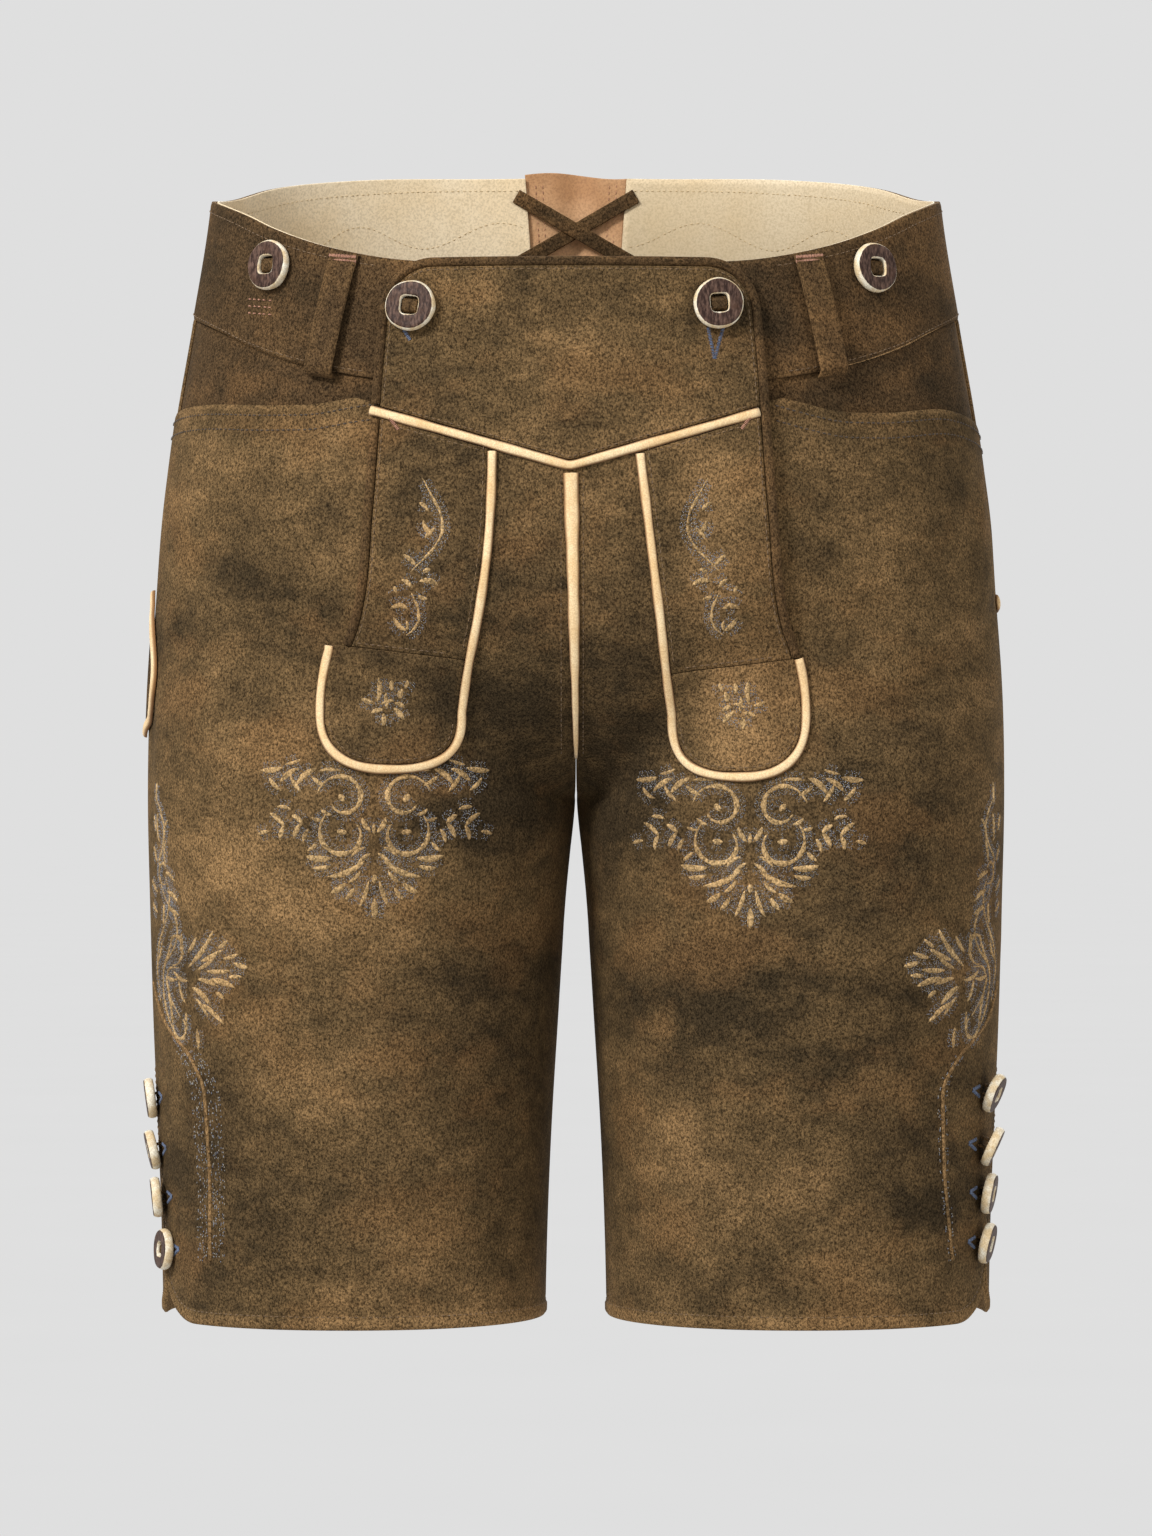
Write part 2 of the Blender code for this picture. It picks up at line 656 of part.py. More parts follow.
def flap_edging():
    """The rolled edge round the bib. On the wearer's right the pointed seam's welt cuts it in two."""
    middle = EDGING[0] / 2
    width = flap_half_width(-0.078)
    above = point_line(width) + POINT_WELT[0] / 2 + 2 * SEAM
    below = point_line(width - EDGING[0]) - POINT_WELT[0] / 2 - 2 * SEAM
    turn = np.linspace(0, np.pi / 2, 9)[1:]
    radius = FLAP_CORNER - middle
    turn_z = FLAP_TOP_Z - FLAP_CORNER + radius * np.sin(turn)
    turn_x = flap_half_width(turn_z) - FLAP_CORNER + radius * np.cos(turn)
    right = np.linspace(above, FLAP_TOP_Z - FLAP_CORNER, 6)
    left = np.linspace(FLAP_TOP_Z - FLAP_CORNER, edging_end(1), 14)
    across = np.linspace(-turn_x[-1], turn_x[-1], 13)[1:-1]
    x = [-(flap_half_width(right) - middle), -turn_x, across, turn_x[::-1], flap_half_width(left) - middle]
    z = [right, turn_z, np.full(11, turn_z[-1]), turn_z[::-1], left]
    edging_run("flap_edging", np.concatenate(x), np.concatenate(z))
    z = np.linspace(edging_end(-1), below, 9)
    edging_run("strip_edging_right", -(flap_half_width(z) - middle), z)


def ornament_strip(side, name):
    """The strip below the bib, between its welt and the edging."""
    share = np.linspace(0, 1, 6)

    def across(z):
        inner = strip_inner(side, z) + WELT[0] / 2 + SEAM
        return inner + share * (flap_half_width(z) - EDGING[0] - 2 * SEAM - inner)

    low = strip_end(side, across(np.full(6, foot(side, "seam_z")))) + SEAM
    high = point_line(across(np.full(6, -0.085))) - POINT_WELT[0] / 2 - SEAM - 0.0004
    z = low + (high - low) * steps(0, 1, 12)
    x = FLAP_X + side * across(z)
    wall(name, skin_by_x(x, z), flap_lift(x, z) + LEATHER + SEAM, LEATHER, "outer_suede")


def foot_edges(side, z, inset):
    """The inner and outer edge of a foot at height z, moved in from the welt's middle line."""
    shoulder, middle = foot(side, "shoulder_z"), foot(side, "middle")
    below = np.clip((shoulder - z) / (foot(side, "depth") - inset), 0, 1)
    half = (foot(side, "half_width") - inset) * (1 - below**FOOT_POWER) ** (1 / FOOT_POWER)
    lean = np.clip((z - shoulder) / 0.030, 0, 1)
    inner = np.where(z > shoulder, strip_inner(side, z) + inset, middle - half)
    return inner, middle + half - 0.0045 * lean**2


def strip_foot(side, name):
    """The round-ended piece at a strip's lower end, sewn over the end of the flap's slit."""
    inset = WELT[0] / 2 + SEAM
    share = np.linspace(0, 1, 9)
    shoulder = foot(side, "shoulder_z")
    depth = (foot(side, "depth") - inset) * 0.985
    low = shoulder - depth * np.sin(np.pi / 2 * steps(1, 0, 6))
    inner, outer = foot_edges(side, np.full(1, foot(side, "top_z")), inset)
    top = np.minimum(strip_end(side, inner + share * (outer - inner)), foot(side, "top_z")) - SEAM
    z = np.concatenate([low + 0 * share, shoulder + (top - shoulder) * steps(1 / 3, 1, 3)])
    inner, outer = foot_edges(side, z, inset)
    x = FLAP_X + side * (inner + share * (outer - inner))
    wall(name, skin_by_x(x, z), LEATHER + 2 * SEAM, LEATHER, "outer_suede")


def strip_welt(side, name):
    """The light welt down a strip's inner edge, round its foot and up to the foot's outer corner."""
    shoulder, half = foot(side, "shoulder_z"), foot(side, "half_width")
    start = point_line(strip_inner(side, -0.09)) - POINT_WELT[0] / 2 - SEAM - 0.0008
    down = np.linspace(start, shoulder, 13)
    sine, cosine = rounded(np.linspace(0, np.pi, 15)[1:-1], FOOT_POWER)
    up = np.linspace(shoulder, foot(side, "top_z"), 4)
    z = np.concatenate([down, shoulder - foot(side, "depth") * sine, up])
    outer = foot_edges(side, up, 0)[1]
    x = np.concatenate([strip_inner(side, down), foot(side, "middle") - half * cosine, outer])
    x = FLAP_X + side * x
    points, normals = skin_by_x(x, z)
    points = points + normals * (flap_lift(x, z) + 2 * SEAM)[:, None]
    run(name, points, normals, bead(*WELT), "piping_leather")


def point_welt():
    """The light welt in the pointed seam below the bib. It runs out to the flap's edge on one side."""
    width = flap_half_width(-0.078)
    x = np.linspace(-width, width - EDGING[0] - 2 * SEAM, 24)
    z = point_line(np.maximum(np.abs(x), 0.0012))
    points, normals = skin_by_x(FLAP_X + x, z)
    points = points + normals * (flap_lift(FLAP_X + x, z) + SEAM)[:, None]
    run("point_welt", points, normals, bead(*POINT_WELT), "piping_leather")


def centre_welt():
    """The light welt down the front middle seam. It narrows as the seam sinks between the legs."""
    z = np.linspace(POINT_Z - POINT_WELT[0] / 2 - 3 * SEAM, CENTRE_WELT_END_Z, 17)
    share = np.linspace(0, 1, 17)
    half = CENTRE_WELT[0] / 2 * (1 - CENTRE_WELT_TAPER * share**1.6)
    x = FLAP_X * (1 - share) ** 1.2 * 0.8
    low, low_normal = skin_by_x(np.full(17, 0.0004), z)
    beside = skin_by_x(half + np.abs(x), z)[0]
    normals = low_normal * (0, 1, 1)
    normals /= np.linalg.norm(normals, axis=-1, keepdims=True)
    sunk = np.maximum(((beside - low) * normals).sum(-1), 0)
    points = low + normals * (sunk + SEAM)[:, None]
    points[:, 0] = x
    shape = bead(1, 1) * np.stack([2 * half, np.full(17, CENTRE_WELT[1])], axis=-1)[:, None]
    run("centre_welt", points, normals, shape, "piping_leather")


def belt_loop(name, x_top, x_bottom, back=False):
    """A strap sewn down at the band's top edge. It stands off the band, and its end turns in below it."""
    share = np.linspace(0, 1, 12)
    stand = np.interp(share, *named(LOOP_STAND, LOOP_STAND_COLUMNS, "height"))
    x = x_top + (x_bottom - x_top) * share
    top = band_top(girth_at(np.abs(x[:1]), np.zeros(1), back)) + 0.0004
    z = top - (BAND_HEIGHT + LOOP_OVERHANG) * np.minimum(share / LOOP_FOLD_SHARE, 1)
    points, normals = skin_by_x(x, z, back)
    run(name, points + normals * stand[:, None], normals, flat(*LOOP), "dark_suede")


def lace_bar(name, ends, lift, bow):
    """A flat lace between two places on the back, (x, z) each, bowed away from the skin in its middle."""
    share = np.linspace(0, 1, 7)
    (x0, z0), (x1, z1) = ends
    x, z = x0 + (x1 - x0) * share, z0 + (z1 - z0) * share
    points, normals = skin_by_x(x, z, back=True)
    out = lift + bow * np.sin(np.pi * share) ** 2
    run(name, points + normals * out[:, None], normals, flat(*LACE), "dark_suede")


def back_lacing():
    """Inside, two laces cross over the gusset. Outside, a bar joins each pair of eyelets."""
    upper, lower = UPPER_EYELET, LOWER_EYELET
    inner_face = -BAND_LEATHER - LINING - 2 * SEAM - LACE[1]
    crossing = [((-upper[0], upper[1]), lower), ((-lower[0], lower[1]), upper)]
    lace_bar("lace_inside_over", crossing[0], inner_face, -LACE_BOWS["over"])
    lace_bar("lace_inside_under", crossing[1], inner_face, -LACE_BOWS["under"])
    for name, (x, z) in (("lace_outside_top", upper), ("lace_outside_low", lower)):
        lace_bar(name, ((-x, z), (x, z)), 2 * SEAM, LACE_BOWS["outside"])


def knife_pocket():
    """The dark leather that shows in the knife pocket's mouth, and the welt along the mouth's edge."""
    z, forward = named(KNIFE_POCKET, KNIFE_POCKET_COLUMNS, "forward")
    z, forward = z[::-1], forward[::-1]
    up = np.linspace(z[0] + 0.0035, z[-1] - 0.0035, 9)
    slant = np.hypot(1, np.gradient(smooth(up, z, forward), up))
    reach = smooth(up, z, forward) - (POCKET_WELT[0] / 2 + 0.0013) * slant
    s = 0.5 - np.linspace(1, 0, 6) * np.maximum(reach, 0.0010)[:, None] / GIRTH
    points = skin(-1, s, up[:, None] + 0 * s)
    wall("knife_pocket", points, KNIFE_POCKET_LEATHER + 2 * SEAM, KNIFE_POCKET_LEATHER, "dark_suede")
    turn = np.linspace(0, np.pi, 21)
    line = (z[0] + z[-1]) / 2 - (z[-1] - z[0]) / 2 * np.cos(turn)
    points, normals = skin(-1, 0.5 - smooth(line, z, forward) / GIRTH, line)
    run("knife_pocket_welt", points + normals * 2 * SEAM, normals, bead(*POCKET_WELT), "piping_leather")


def back_pocket_welt():
    """The light welt of the pocket behind the wearer's left side."""
    s = np.linspace(0.468, 0.640, 12)
    points, normals = skin(1, s, BACK_POCKET_Z - 0.0037 * (s - s[0]) / (s[-1] - s[0]))
    run("back_pocket_welt", points + normals * SEAM, normals, bead(*BACK_POCKET_WELT), "piping_leather")


def button_mesh(name, radius, hole, thick):
    """A ring's profile, closed and clear of the axis: down the outside, then up through the hole."""
    profile = (
        (hole, thick),
        (radius - BUTTON_EDGE, thick),
        (radius, thick / 2),
        (radius - BUTTON_EDGE, 0.0),
        (hole, 0.0),
    )
    mesh = bpy.data.meshes.new(name)
    edges = [(i, (i + 1) % len(profile)) for i in range(len(profile))]
    mesh.from_pydata([(r, 0, h) for r, h in profile], edges, [])
    mesh.materials.append(bpy.data.materials["horn"])
    return mesh


def seat(point, normal, turn):
    """A placing matrix: local Z along the normal, local Y near upright, turned by that many degrees."""
    out = Vector(normal).normalized()
    across = Vector((0, 0, 1)).cross(out).normalized()
    upright = out.cross(across)
    basis = Matrix((across, upright, out)).transposed().to_4x4()
    return Matrix.Translation(Vector(point)) @ basis @ Matrix.Rotation(math.radians(turn), 4, "Z")


def add_button(name, mesh, place):
    button = bpy.data.objects.new(name, mesh)
    button.matrix_world = place
    turned = button.modifiers.new("turned", "SCREW")
    turned.steps = turned.render_steps = BUTTON_STEPS
    turned.use_merge_vertices = True
    turned.merge_threshold = 0.0001
    bpy.data.collections["drop_front_trousers"].objects.link(button)


def add_thong(name, place, thick, below):
    """The leather tab that fills a button's hole and reaches down to the cloth."""
    tall = thick - 0.0008 + below
    mesh = bpy.data.meshes.new(name)
    work = bmesh.new()
    bmesh.ops.create_cube(work, size=1)
    bmesh.ops.scale(work, vec=(0.0074, 0.0066, tall), verts=work.verts)
    bmesh.ops.translate(work, vec=(0, 0, tall / 2 - below), verts=work.verts)
    work.to_mesh(mesh)
    work.free()
    finish(name, mesh, "dark_suede").matrix_world = place


def buttons():
    """Two on the flap, two for braces at each of front and back, four down each side slit."""
    big = button_mesh("big_button", *BIG_BUTTON)
    small = button_mesh("leg_button", *LEG_BUTTON)
    for row in rows(BIG_BUTTONS, BIG_BUTTON_COLUMNS):
        x, z = row["x"], row["z"]
        points, normals = skin_by_x(x, z, row["place"] == "back")
        lift, shank = 2 * SEAM, 0.0
        if row["place"] == "flap":
            shank = FLAP_BUTTON_SHANK
            lift += LEATHER + shank + float(flap_lift(x, z))
        spot = seat(points + normals * lift, normals, row["turn"])
        add_button(row["name"].format("button"), big, spot)
        add_thong(row["name"].format("thong"), spot, BIG_BUTTON[2], shank)
    for number, row in enumerate(rows(LEG_BUTTONS, LEG_BUTTON_COLUMNS)):
        side = row["side"]
        points, normals = skin(side, row["s"], row["z"])
        turn = Matrix.Rotation(math.radians(-side * row["yaw"]), 4, "Y")
        turn = turn @ Matrix.Rotation(math.radians(row["pitch"]), 4, "X")
        off = (LEG_BUTTON[0] - BUTTON_EDGE) * math.sqrt(1 - turn[2][2] ** 2) + SEAM
        spot = seat(points + normals * off, normals, 0) @ turn
        add_button(f"leg_button_{own_side(side)}_{number % 4 + 1}", small, spot)


def main():
    for old in list(bpy.data.objects):
        bpy.data.objects.remove(old)
    bpy.context.scene.collection.children.link(bpy.data.collections.new("drop_front_trousers"))
    for name in MATERIALS:
        new_material(name)
    for side, side_name in ((1, "left"), (-1, "right")):
        front_panel(side, f"leg_front_{side_name}")
        back_panel(side, f"leg_back_{side_name}")
        hip_facing(side, f"hip_facing_{side_name}")
        waistband(side, f"waistband_{side_name}")
        waist_lining(side, f"waist_lining_{side_name}")
        slit_underlap(side, f"slit_underlap_{side_name}")
        ornament_strip(side, f"flap_strip_{side_name}")
        strip_foot(side, f"strip_foot_{side_name}")
        strip_welt(side, f"strip_welt_{side_name}")
        belt_loop(f"belt_loop_front_{side_name}", side * 0.1090, side * 0.1200)
        belt_loop(f"belt_loop_back_{side_name}", side * 0.0600, side * 0.0640, back=True)
    back_gusset()
    front_flap()
    flap_edging()
    point_welt()
    centre_welt()
    back_lacing()
    knife_pocket()
    back_pocket_welt()
    buttons()


main()
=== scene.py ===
"""The looks of short leather trousers with a drop-front flap: suede, welts, horn buttons, sewing.

The frame is in metres, +Z up, the front faces -Y and the wearer's left is +X. side is 1 on the
wearer's left and -1 on the right. A place on the garment is a girth share s, from the front middle
(or the inside of the leg) at 0, round the side at 0.5, to the back middle at 1, and a height z.
"""

import math

import bpy
import numpy as np
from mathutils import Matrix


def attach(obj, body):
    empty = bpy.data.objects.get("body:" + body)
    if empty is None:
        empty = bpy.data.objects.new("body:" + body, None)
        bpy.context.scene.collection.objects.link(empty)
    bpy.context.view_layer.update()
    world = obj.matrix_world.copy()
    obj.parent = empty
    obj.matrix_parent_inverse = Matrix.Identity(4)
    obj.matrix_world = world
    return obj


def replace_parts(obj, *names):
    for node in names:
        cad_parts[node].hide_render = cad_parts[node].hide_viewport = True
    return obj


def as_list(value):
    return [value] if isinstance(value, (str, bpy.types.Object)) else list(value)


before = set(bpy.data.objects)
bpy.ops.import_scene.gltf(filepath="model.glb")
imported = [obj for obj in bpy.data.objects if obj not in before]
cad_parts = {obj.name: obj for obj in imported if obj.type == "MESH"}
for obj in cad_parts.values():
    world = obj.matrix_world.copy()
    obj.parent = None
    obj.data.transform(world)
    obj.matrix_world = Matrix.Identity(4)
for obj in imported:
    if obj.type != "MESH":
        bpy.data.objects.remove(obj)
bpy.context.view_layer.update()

# The camera faces the front from 3 m, level with the middle of the photograph
CAMERA_Y = -3.0
CAMERA_Z = -0.2464
CAMERA_LENS = 143.5
FLOOR_Z = -0.90

# Heights of the garment. The underlap runs from its first height to its second
HEM_Z = -0.513
CROTCH_Z = -0.262
SEAT_Z = -0.150
GUSSET_TIP_Z = -0.075
FACING_END_Z = -0.122
UNDERLAP_Z = (-0.485, -0.382)
BAND_HEIGHT = 0.0565

# Thicknesses and gaps, as in the solids. A name that ends in _S is a girth share
LEATHER = 0.0016
BAND_LEATHER = 0.0024
LINING = 0.0012
SEAM = 0.0003
HALF_SEAM_S = 0.00025
UNDERLAP_S = 0.028
UNDERLAP_DROP = 0.0010
GIRTH = 0.62
LEG_POWER = 2.15

BAND_TOP_COLUMNS = ("s", "z")
BAND_TOP = (
    (0.000, -0.0085),
    (0.173, -0.0050),
    (0.227, 0.0003),
    (0.313, 0.0119),
    (0.361, 0.0190),
    (0.430, 0.0258),
    (0.500, 0.0300),
    (0.636, 0.0359),
    (0.699, 0.0423),
    (0.823, 0.0497),
    (1.000, 0.0530),
)

SIDE_SEAM_COLUMNS = ("z", "s")
SIDE_SEAM = (
    (-0.525, 0.442),
    (-0.480, 0.449),
    (-0.430, 0.468),
    (-0.380, 0.489),
    (-0.330, 0.4995),
    (-0.270, 0.500),
    (0.065, 0.500),
)

MOUTH_COLUMNS = ("s", "right", "left")
MOUTH = (
    (0.000, -0.0700, -0.0700),
    (0.150, -0.0696, -0.0700),
    (0.175, -0.0712, -0.0736),
    (0.210, -0.0740, -0.0775),
    (0.250, -0.0740, -0.0778),
    (0.354, -0.0718, -0.0742),
    (0.410, -0.0722, -0.0764),
    (0.500, -0.0744, -0.0815),
)

SECTION_COLUMNS = (
    "z", "half_width", "inner_x", "leg_front", "leg_back", "body_front", "body_back", "body_power"
)
SECTIONS = (
    (-0.525, 0.2016, 0.0150, 0.0980, 0.0980, 0.1200, 0.1300, 2.25),
    (-0.502, 0.2020, 0.0147, 0.0990, 0.0990, 0.1200, 0.1300, 2.25),
    (-0.458, 0.2030, 0.0135, 0.1020, 0.1010, 0.1200, 0.1300, 2.25),
    (-0.414, 0.2048, 0.0115, 0.1050, 0.1030, 0.1200, 0.1300, 2.25),
    (-0.370, 0.2066, 0.0088, 0.1080, 0.1050, 0.1200, 0.1310, 2.25),
    (-0.311, 0.2083, 0.0051, 0.1110, 0.1080, 0.1205, 0.1325, 2.25),
    (-0.262, 0.2094, 0.0003, 0.1130, 0.1130, 0.1220, 0.1360, 2.25),
    (-0.208, 0.2085, 0.0003, 0.1155, 0.1180, 0.1255, 0.1410, 2.25),
    (-0.164, 0.2055, 0.0003, 0.1175, 0.1210, 0.1265, 0.1420, 2.25),
    (-0.120, 0.2019, 0.0003, 0.1180, 0.1220, 0.1260, 0.1390, 2.20),
    (-0.076, 0.1960, 0.0003, 0.1180, 0.1220, 0.1230, 0.1330, 2.10),
    (-0.032, 0.1884, 0.0003, 0.1180, 0.1220, 0.1200, 0.1260, 2.02),
    (0.027, 0.1790, 0.0003, 0.1180, 0.1220, 0.1160, 0.1190, 2.00),
    (0.065, 0.1760, 0.0003, 0.1180, 0.1220, 0.1140, 0.1165, 2.00),
)

# Folds of the solids, then finer creases. turn is in degrees from upright, side 0 is both sides, a
# positive depth is a ridge, and long and wide are half sizes
FOLD_COLUMNS = ("side", "s", "z", "turn", "long", "wide", "depth")
FOLDS = (
    (0, 0.075, -0.232, 38, 0.045, 0.016, -0.0026),
    (0, 0.130, -0.262, 52, 0.050, 0.015, 0.0016),
    (-1, 0.455, -0.235, 8, 0.045, 0.012, -0.0022),
    (-1, 0.420, -0.262, 30, 0.036, 0.012, 0.0016),
    (1, 0.360, -0.165, 58, 0.060, 0.018, 0.0024),
    (1, 0.330, -0.215, 62, 0.055, 0.016, -0.0018),
    (-1, 0.330, -0.150, -50, 0.050, 0.018, -0.0018),
    (0, 0.905, -0.240, -40, 0.055, 0.016, -0.0030),
    (0, 0.860, -0.285, -58, 0.060, 0.018, 0.0022),
    (1, 0.700, -0.130, 20, 0.060, 0.022, -0.0020),
    (-1, 0.680, -0.160, -18, 0.065, 0.022, -0.0020),
    (0, 0.740, -0.350, 70, 0.060, 0.020, 0.0018),
    (-1, 0.250, -0.400, 80, 0.060, 0.022, 0.0012),
    (1, 0.220, -0.420, 100, 0.065, 0.022, 0.0012),
)
CREASES = (
    (-1, 0.472, -0.205, 2, 0.030, 0.0050, -0.0012),
    (-1, 0.440, -0.262, 14, 0.026, 0.0050, 0.0009),
    (-1, 0.425, -0.292, 34, 0.024, 0.0055, -0.0009),
    (-1, 0.395, -0.180, -32, 0.030, 0.0080, 0.0008),
    (-1, 0.300, -0.118, -62, 0.028, 0.0070, -0.0007),
    (-1, 0.180, -0.330, 62, 0.034, 0.0090, 0.0007),
    (-1, 0.090, -0.300, 40, 0.026, 0.0070, -0.0009),
    (-1, 0.340, -0.470, 82, 0.030, 0.0080, 0.0006),
    (-1, 0.120, -0.478, 96, 0.026, 0.0080, -0.0006),
    (1, 0.455, -0.145, -12, 0.030, 0.0060, -0.0009),
    (1, 0.400, -0.128, 48, 0.034, 0.0070, 0.0010),
    (1, 0.375, -0.190, 64, 0.030, 0.0070, -0.0010),
    (1, 0.260, -0.250, 72, 0.028, 0.0080, 0.0006),
    (1, 0.100, -0.288, 46, 0.030, 0.0070, -0.0010),
    (1, 0.060, -0.322, 30, 0.024, 0.0060, 0.0007),
    (1, 0.300, -0.380, 84, 0.034, 0.0090, -0.0006),
    (1, 0.150, -0.455, 102, 0.028, 0.0080, 0.0006),
    (1, 0.430, -0.345, 60, 0.026, 0.0070, 0.0006),
    (0, 0.950, -0.205, -24, 0.030, 0.0070, 0.0012),
    (0, 0.925, -0.275, -48, 0.034, 0.0080, -0.0012),
    (1, 0.880, -0.322, -60, 0.030, 0.0080, 0.0009),
    (-1, 0.870, -0.330, -66, 0.034, 0.0080, -0.0009),
    (1, 0.800, -0.400, 82, 0.036, 0.0090, -0.0008),
    (-1, 0.770, -0.420, 98, 0.030, 0.0080, 0.0007),
    (1, 0.640, -0.210, 30, 0.030, 0.0080, 0.0009),
    (-1, 0.620, -0.245, -22, 0.034, 0.0080, -0.0009),
    (1, 0.760, -0.080, 64, 0.026, 0.0070, -0.0007),
    (-1, 0.800, -0.070, -70, 0.024, 0.0070, 0.0007),
    (1, 0.600, -0.300, 50, 0.026, 0.0070, -0.0007),
    (-1, 0.660, -0.470, 88, 0.030, 0.0080, 0.0006),
)

# The drop-front flap. Lifts, gapes and feet are by side: 1 is the wearer's left
FLAP_X = -0.0030
FLAP_TOP_Z = -0.0055
FLAP_CORNER = 0.0250
FLAP_WIDTH_COLUMNS = ("z", "half_width")
FLAP_WIDTH = (
    (-0.2050, 0.1110),
    (-0.1888, 0.1075),
    (-0.1817, 0.1046),
    (-0.1671, 0.1008),
    (-0.1284, 0.0970),
    (-0.0633, 0.0922),
    (-0.0255, 0.0893),
    (0.0000, 0.0888),
)
POINT_Z = -0.1048
POINT_SLOPE = 0.290
POINT_END_Z = -0.078
BIB_LOW_Z = -0.080
FLAP_STEP = 0.0026
FREE_EDGE_LIFT = {1: 0.0042, -1: 0.0012}
LIFT_START_Z = -0.188
LIFT_INNER_X = 0.045
LIFT_OUTER_X = 0.100
MOUTH_GAPE = {1: 0.0020, -1: 0.0006}
MOUTH_GAPE_S = 0.19
MOUTH_GAPE_WIDE = 0.06
STRIP_EDGE_COLUMNS = ("z", "right", "left")
STRIP_EDGE = (
    (-0.2223, 0.0514, 0.0484),
    (-0.2000, 0.0480, 0.0453),
    (-0.1718, 0.0424, 0.0420),
    (-0.1501, 0.0392, 0.0392),
    (-0.1208, 0.0369, 0.0357),
    (-0.0987, 0.0363, 0.0330),
    (-0.0800, 0.0361, 0.0312),
)
FOOT_COLUMNS = ("middle", "half_width", "shoulder_z", "depth", "seam_z", "seam_slope", "top_z")
FEET = {
    -1: (0.08445, 0.03335, -0.2200, 0.0272, -0.1954, 0.116, -0.1884),
    1: (0.0799, 0.0316, -0.2214, 0.0294, -0.2020, 0.121, -0.1946),
}
FOOT_POWER = 2.5

# Width and height of the trims
WELT = (0.0044, 0.0021)
POCKET_WELT = (0.0056, 0.0024)
POINT_WELT = (0.0046, 0.0024)
CENTRE_WELT = (0.0070, 0.0020)
CENTRE_WELT_TAPER = 0.72
CENTRE_WELT_END_Z = -0.2400
EDGING = (0.0044, 0.0028)
BACK_POCKET_WELT = (0.0074, 0.0018)
BACK_POCKET_Z = -0.1655
LOOP = (0.0150, 0.0022)
LOOP_STAND_COLUMNS = ("share", "height")
LOOP_STAND = (
    (0.00, 0.0004),
    (0.06, 0.0008),
    (0.20, 0.0024),
    (0.55, 0.0036),
    (0.93, 0.0038),
    (0.98, 0.0028),
    (1.00, 0.0008),
)
LOOP_OVERHANG = 0.0008
LOOP_FOLD = 0.0030
LACE = (0.0074, 0.0014)

# The back: eyelets as (x, z), how far laces bow, and the gusset
UPPER_EYELET = (0.0310, 0.0445)
LOWER_EYELET = (0.0290, 0.0110)
LACE_BOWS = {"over": 0.0024, "under": 0.0004, "outside": 0.0026}
GUSSET_LEATHER = 0.0014
GUSSET_FOLD = 0.0028
GUSSET_FOLD_SHARE = 0.28
GUSSET_TOP_Z = 0.0548
GUSSET_TOP_WAVE = 0.0016
GAP_COLUMNS = ("z", "half_gap")
GAP = ((-0.120, 0.0002), (GUSSET_TIP_Z, 0.0006), (-0.003, 0.0220), (0.060, 0.0266))
KNIFE_POCKET_LEATHER = 0.0010
KNIFE_POCKET_COLUMNS = ("z", "forward")
KNIFE_POCKET = (
    (-0.1615, 0.0060),
    (-0.1690, 0.0180),
    (-0.1790, 0.0315),
    (-0.1900, 0.0405),
    (-0.1990, 0.0430),
    (-0.2080, 0.0390),
    (-0.2160, 0.0290),
    (-0.2230, 0.0170),
    (-0.2290, 0.0060),
)

# Buttons: outer radius, half the square hole and thickness, then their places as in the solids
BIG_BUTTON = (0.01225, 0.0044, 0.0050)
LEG_BUTTON = (0.0100, 0.0035, 0.0048)
BUTTON_EDGE = 0.0016
FLAP_BUTTON_SHANK = 0.0010
BIG_BUTTON_COLUMNS = ("name", "place", "x", "z", "turn")
BIG_BUTTONS = (
    ("flap_{}_left", "flap", 0.0657, -0.0281, 4),
    ("flap_{}_right", "flap", -0.0765, -0.0290, -6),
    ("brace_{}_front_left", "front", 0.1410, -0.0080, 0),
    ("brace_{}_front_right", "front", -0.1450, -0.0065, 0),
    ("brace_{}_back_left", "back", 0.0930, 0.0190, 0),
    ("brace_{}_back_right", "back", -0.0930, 0.0190, 0),
)
LEG_BUTTON_COLUMNS = ("side", "s", "z", "yaw", "pitch")
LEG_BUTTONS = (
    (1, 0.426, -0.4020, -6, 20),
    (1, 0.423, -0.4275, -16, 22),
    (1, 0.428, -0.4510, -10, 8),
    (1, 0.427, -0.4750, -8, 10),
    (-1, 0.464, -0.4065, -4, 5),
    (-1, 0.458, -0.4310, -4, 10),
    (-1, 0.448, -0.4540, -10, 4),
    (-1, 0.436, -0.4790, 2, -4),
)

# Distances from an edge at which a sheet's grid has its first lines
EDGE_LINES = (0, 0.0005, 0.0011, 0.0018, 0.0027, 0.0040, 0.0056, 0.0076)


def rows(table, columns):
    """The table's rows, each with its values under their columns' names."""
    return [dict(zip(columns, row)) for row in table]


def named(table, columns, column):
    """A table's first column, and one that is named."""
    values = np.array(table)
    return values[:, 0], values[:, columns.index(column)]


def smooth(at, stations, values):
    """A cubic curve through the stations' values, with each slope taken from the neighbours."""
    slopes = np.gradient(values, stations)
    row = np.clip(np.searchsorted(stations, at) - 1, 0, len(stations) - 2)
    span = stations[row + 1] - stations[row]
    t = np.clip((at - stations[row]) / span, 0, 1)
    start = (1 + 2 * t) * (1 - t) ** 2 * values[row] + t * (1 - t) ** 2 * span * slopes[row]
    return start + t * t * (3 - 2 * t) * values[row + 1] - t * t * (1 - t) * span * slopes[row + 1]


def curve(table, columns):
    """A function that reads a table's column as a smooth curve over its first column."""

    def read(at, column=columns[1]):
        """The column's value at a place of the first column."""
        return smooth(at, *named(table, columns, column))

    return read


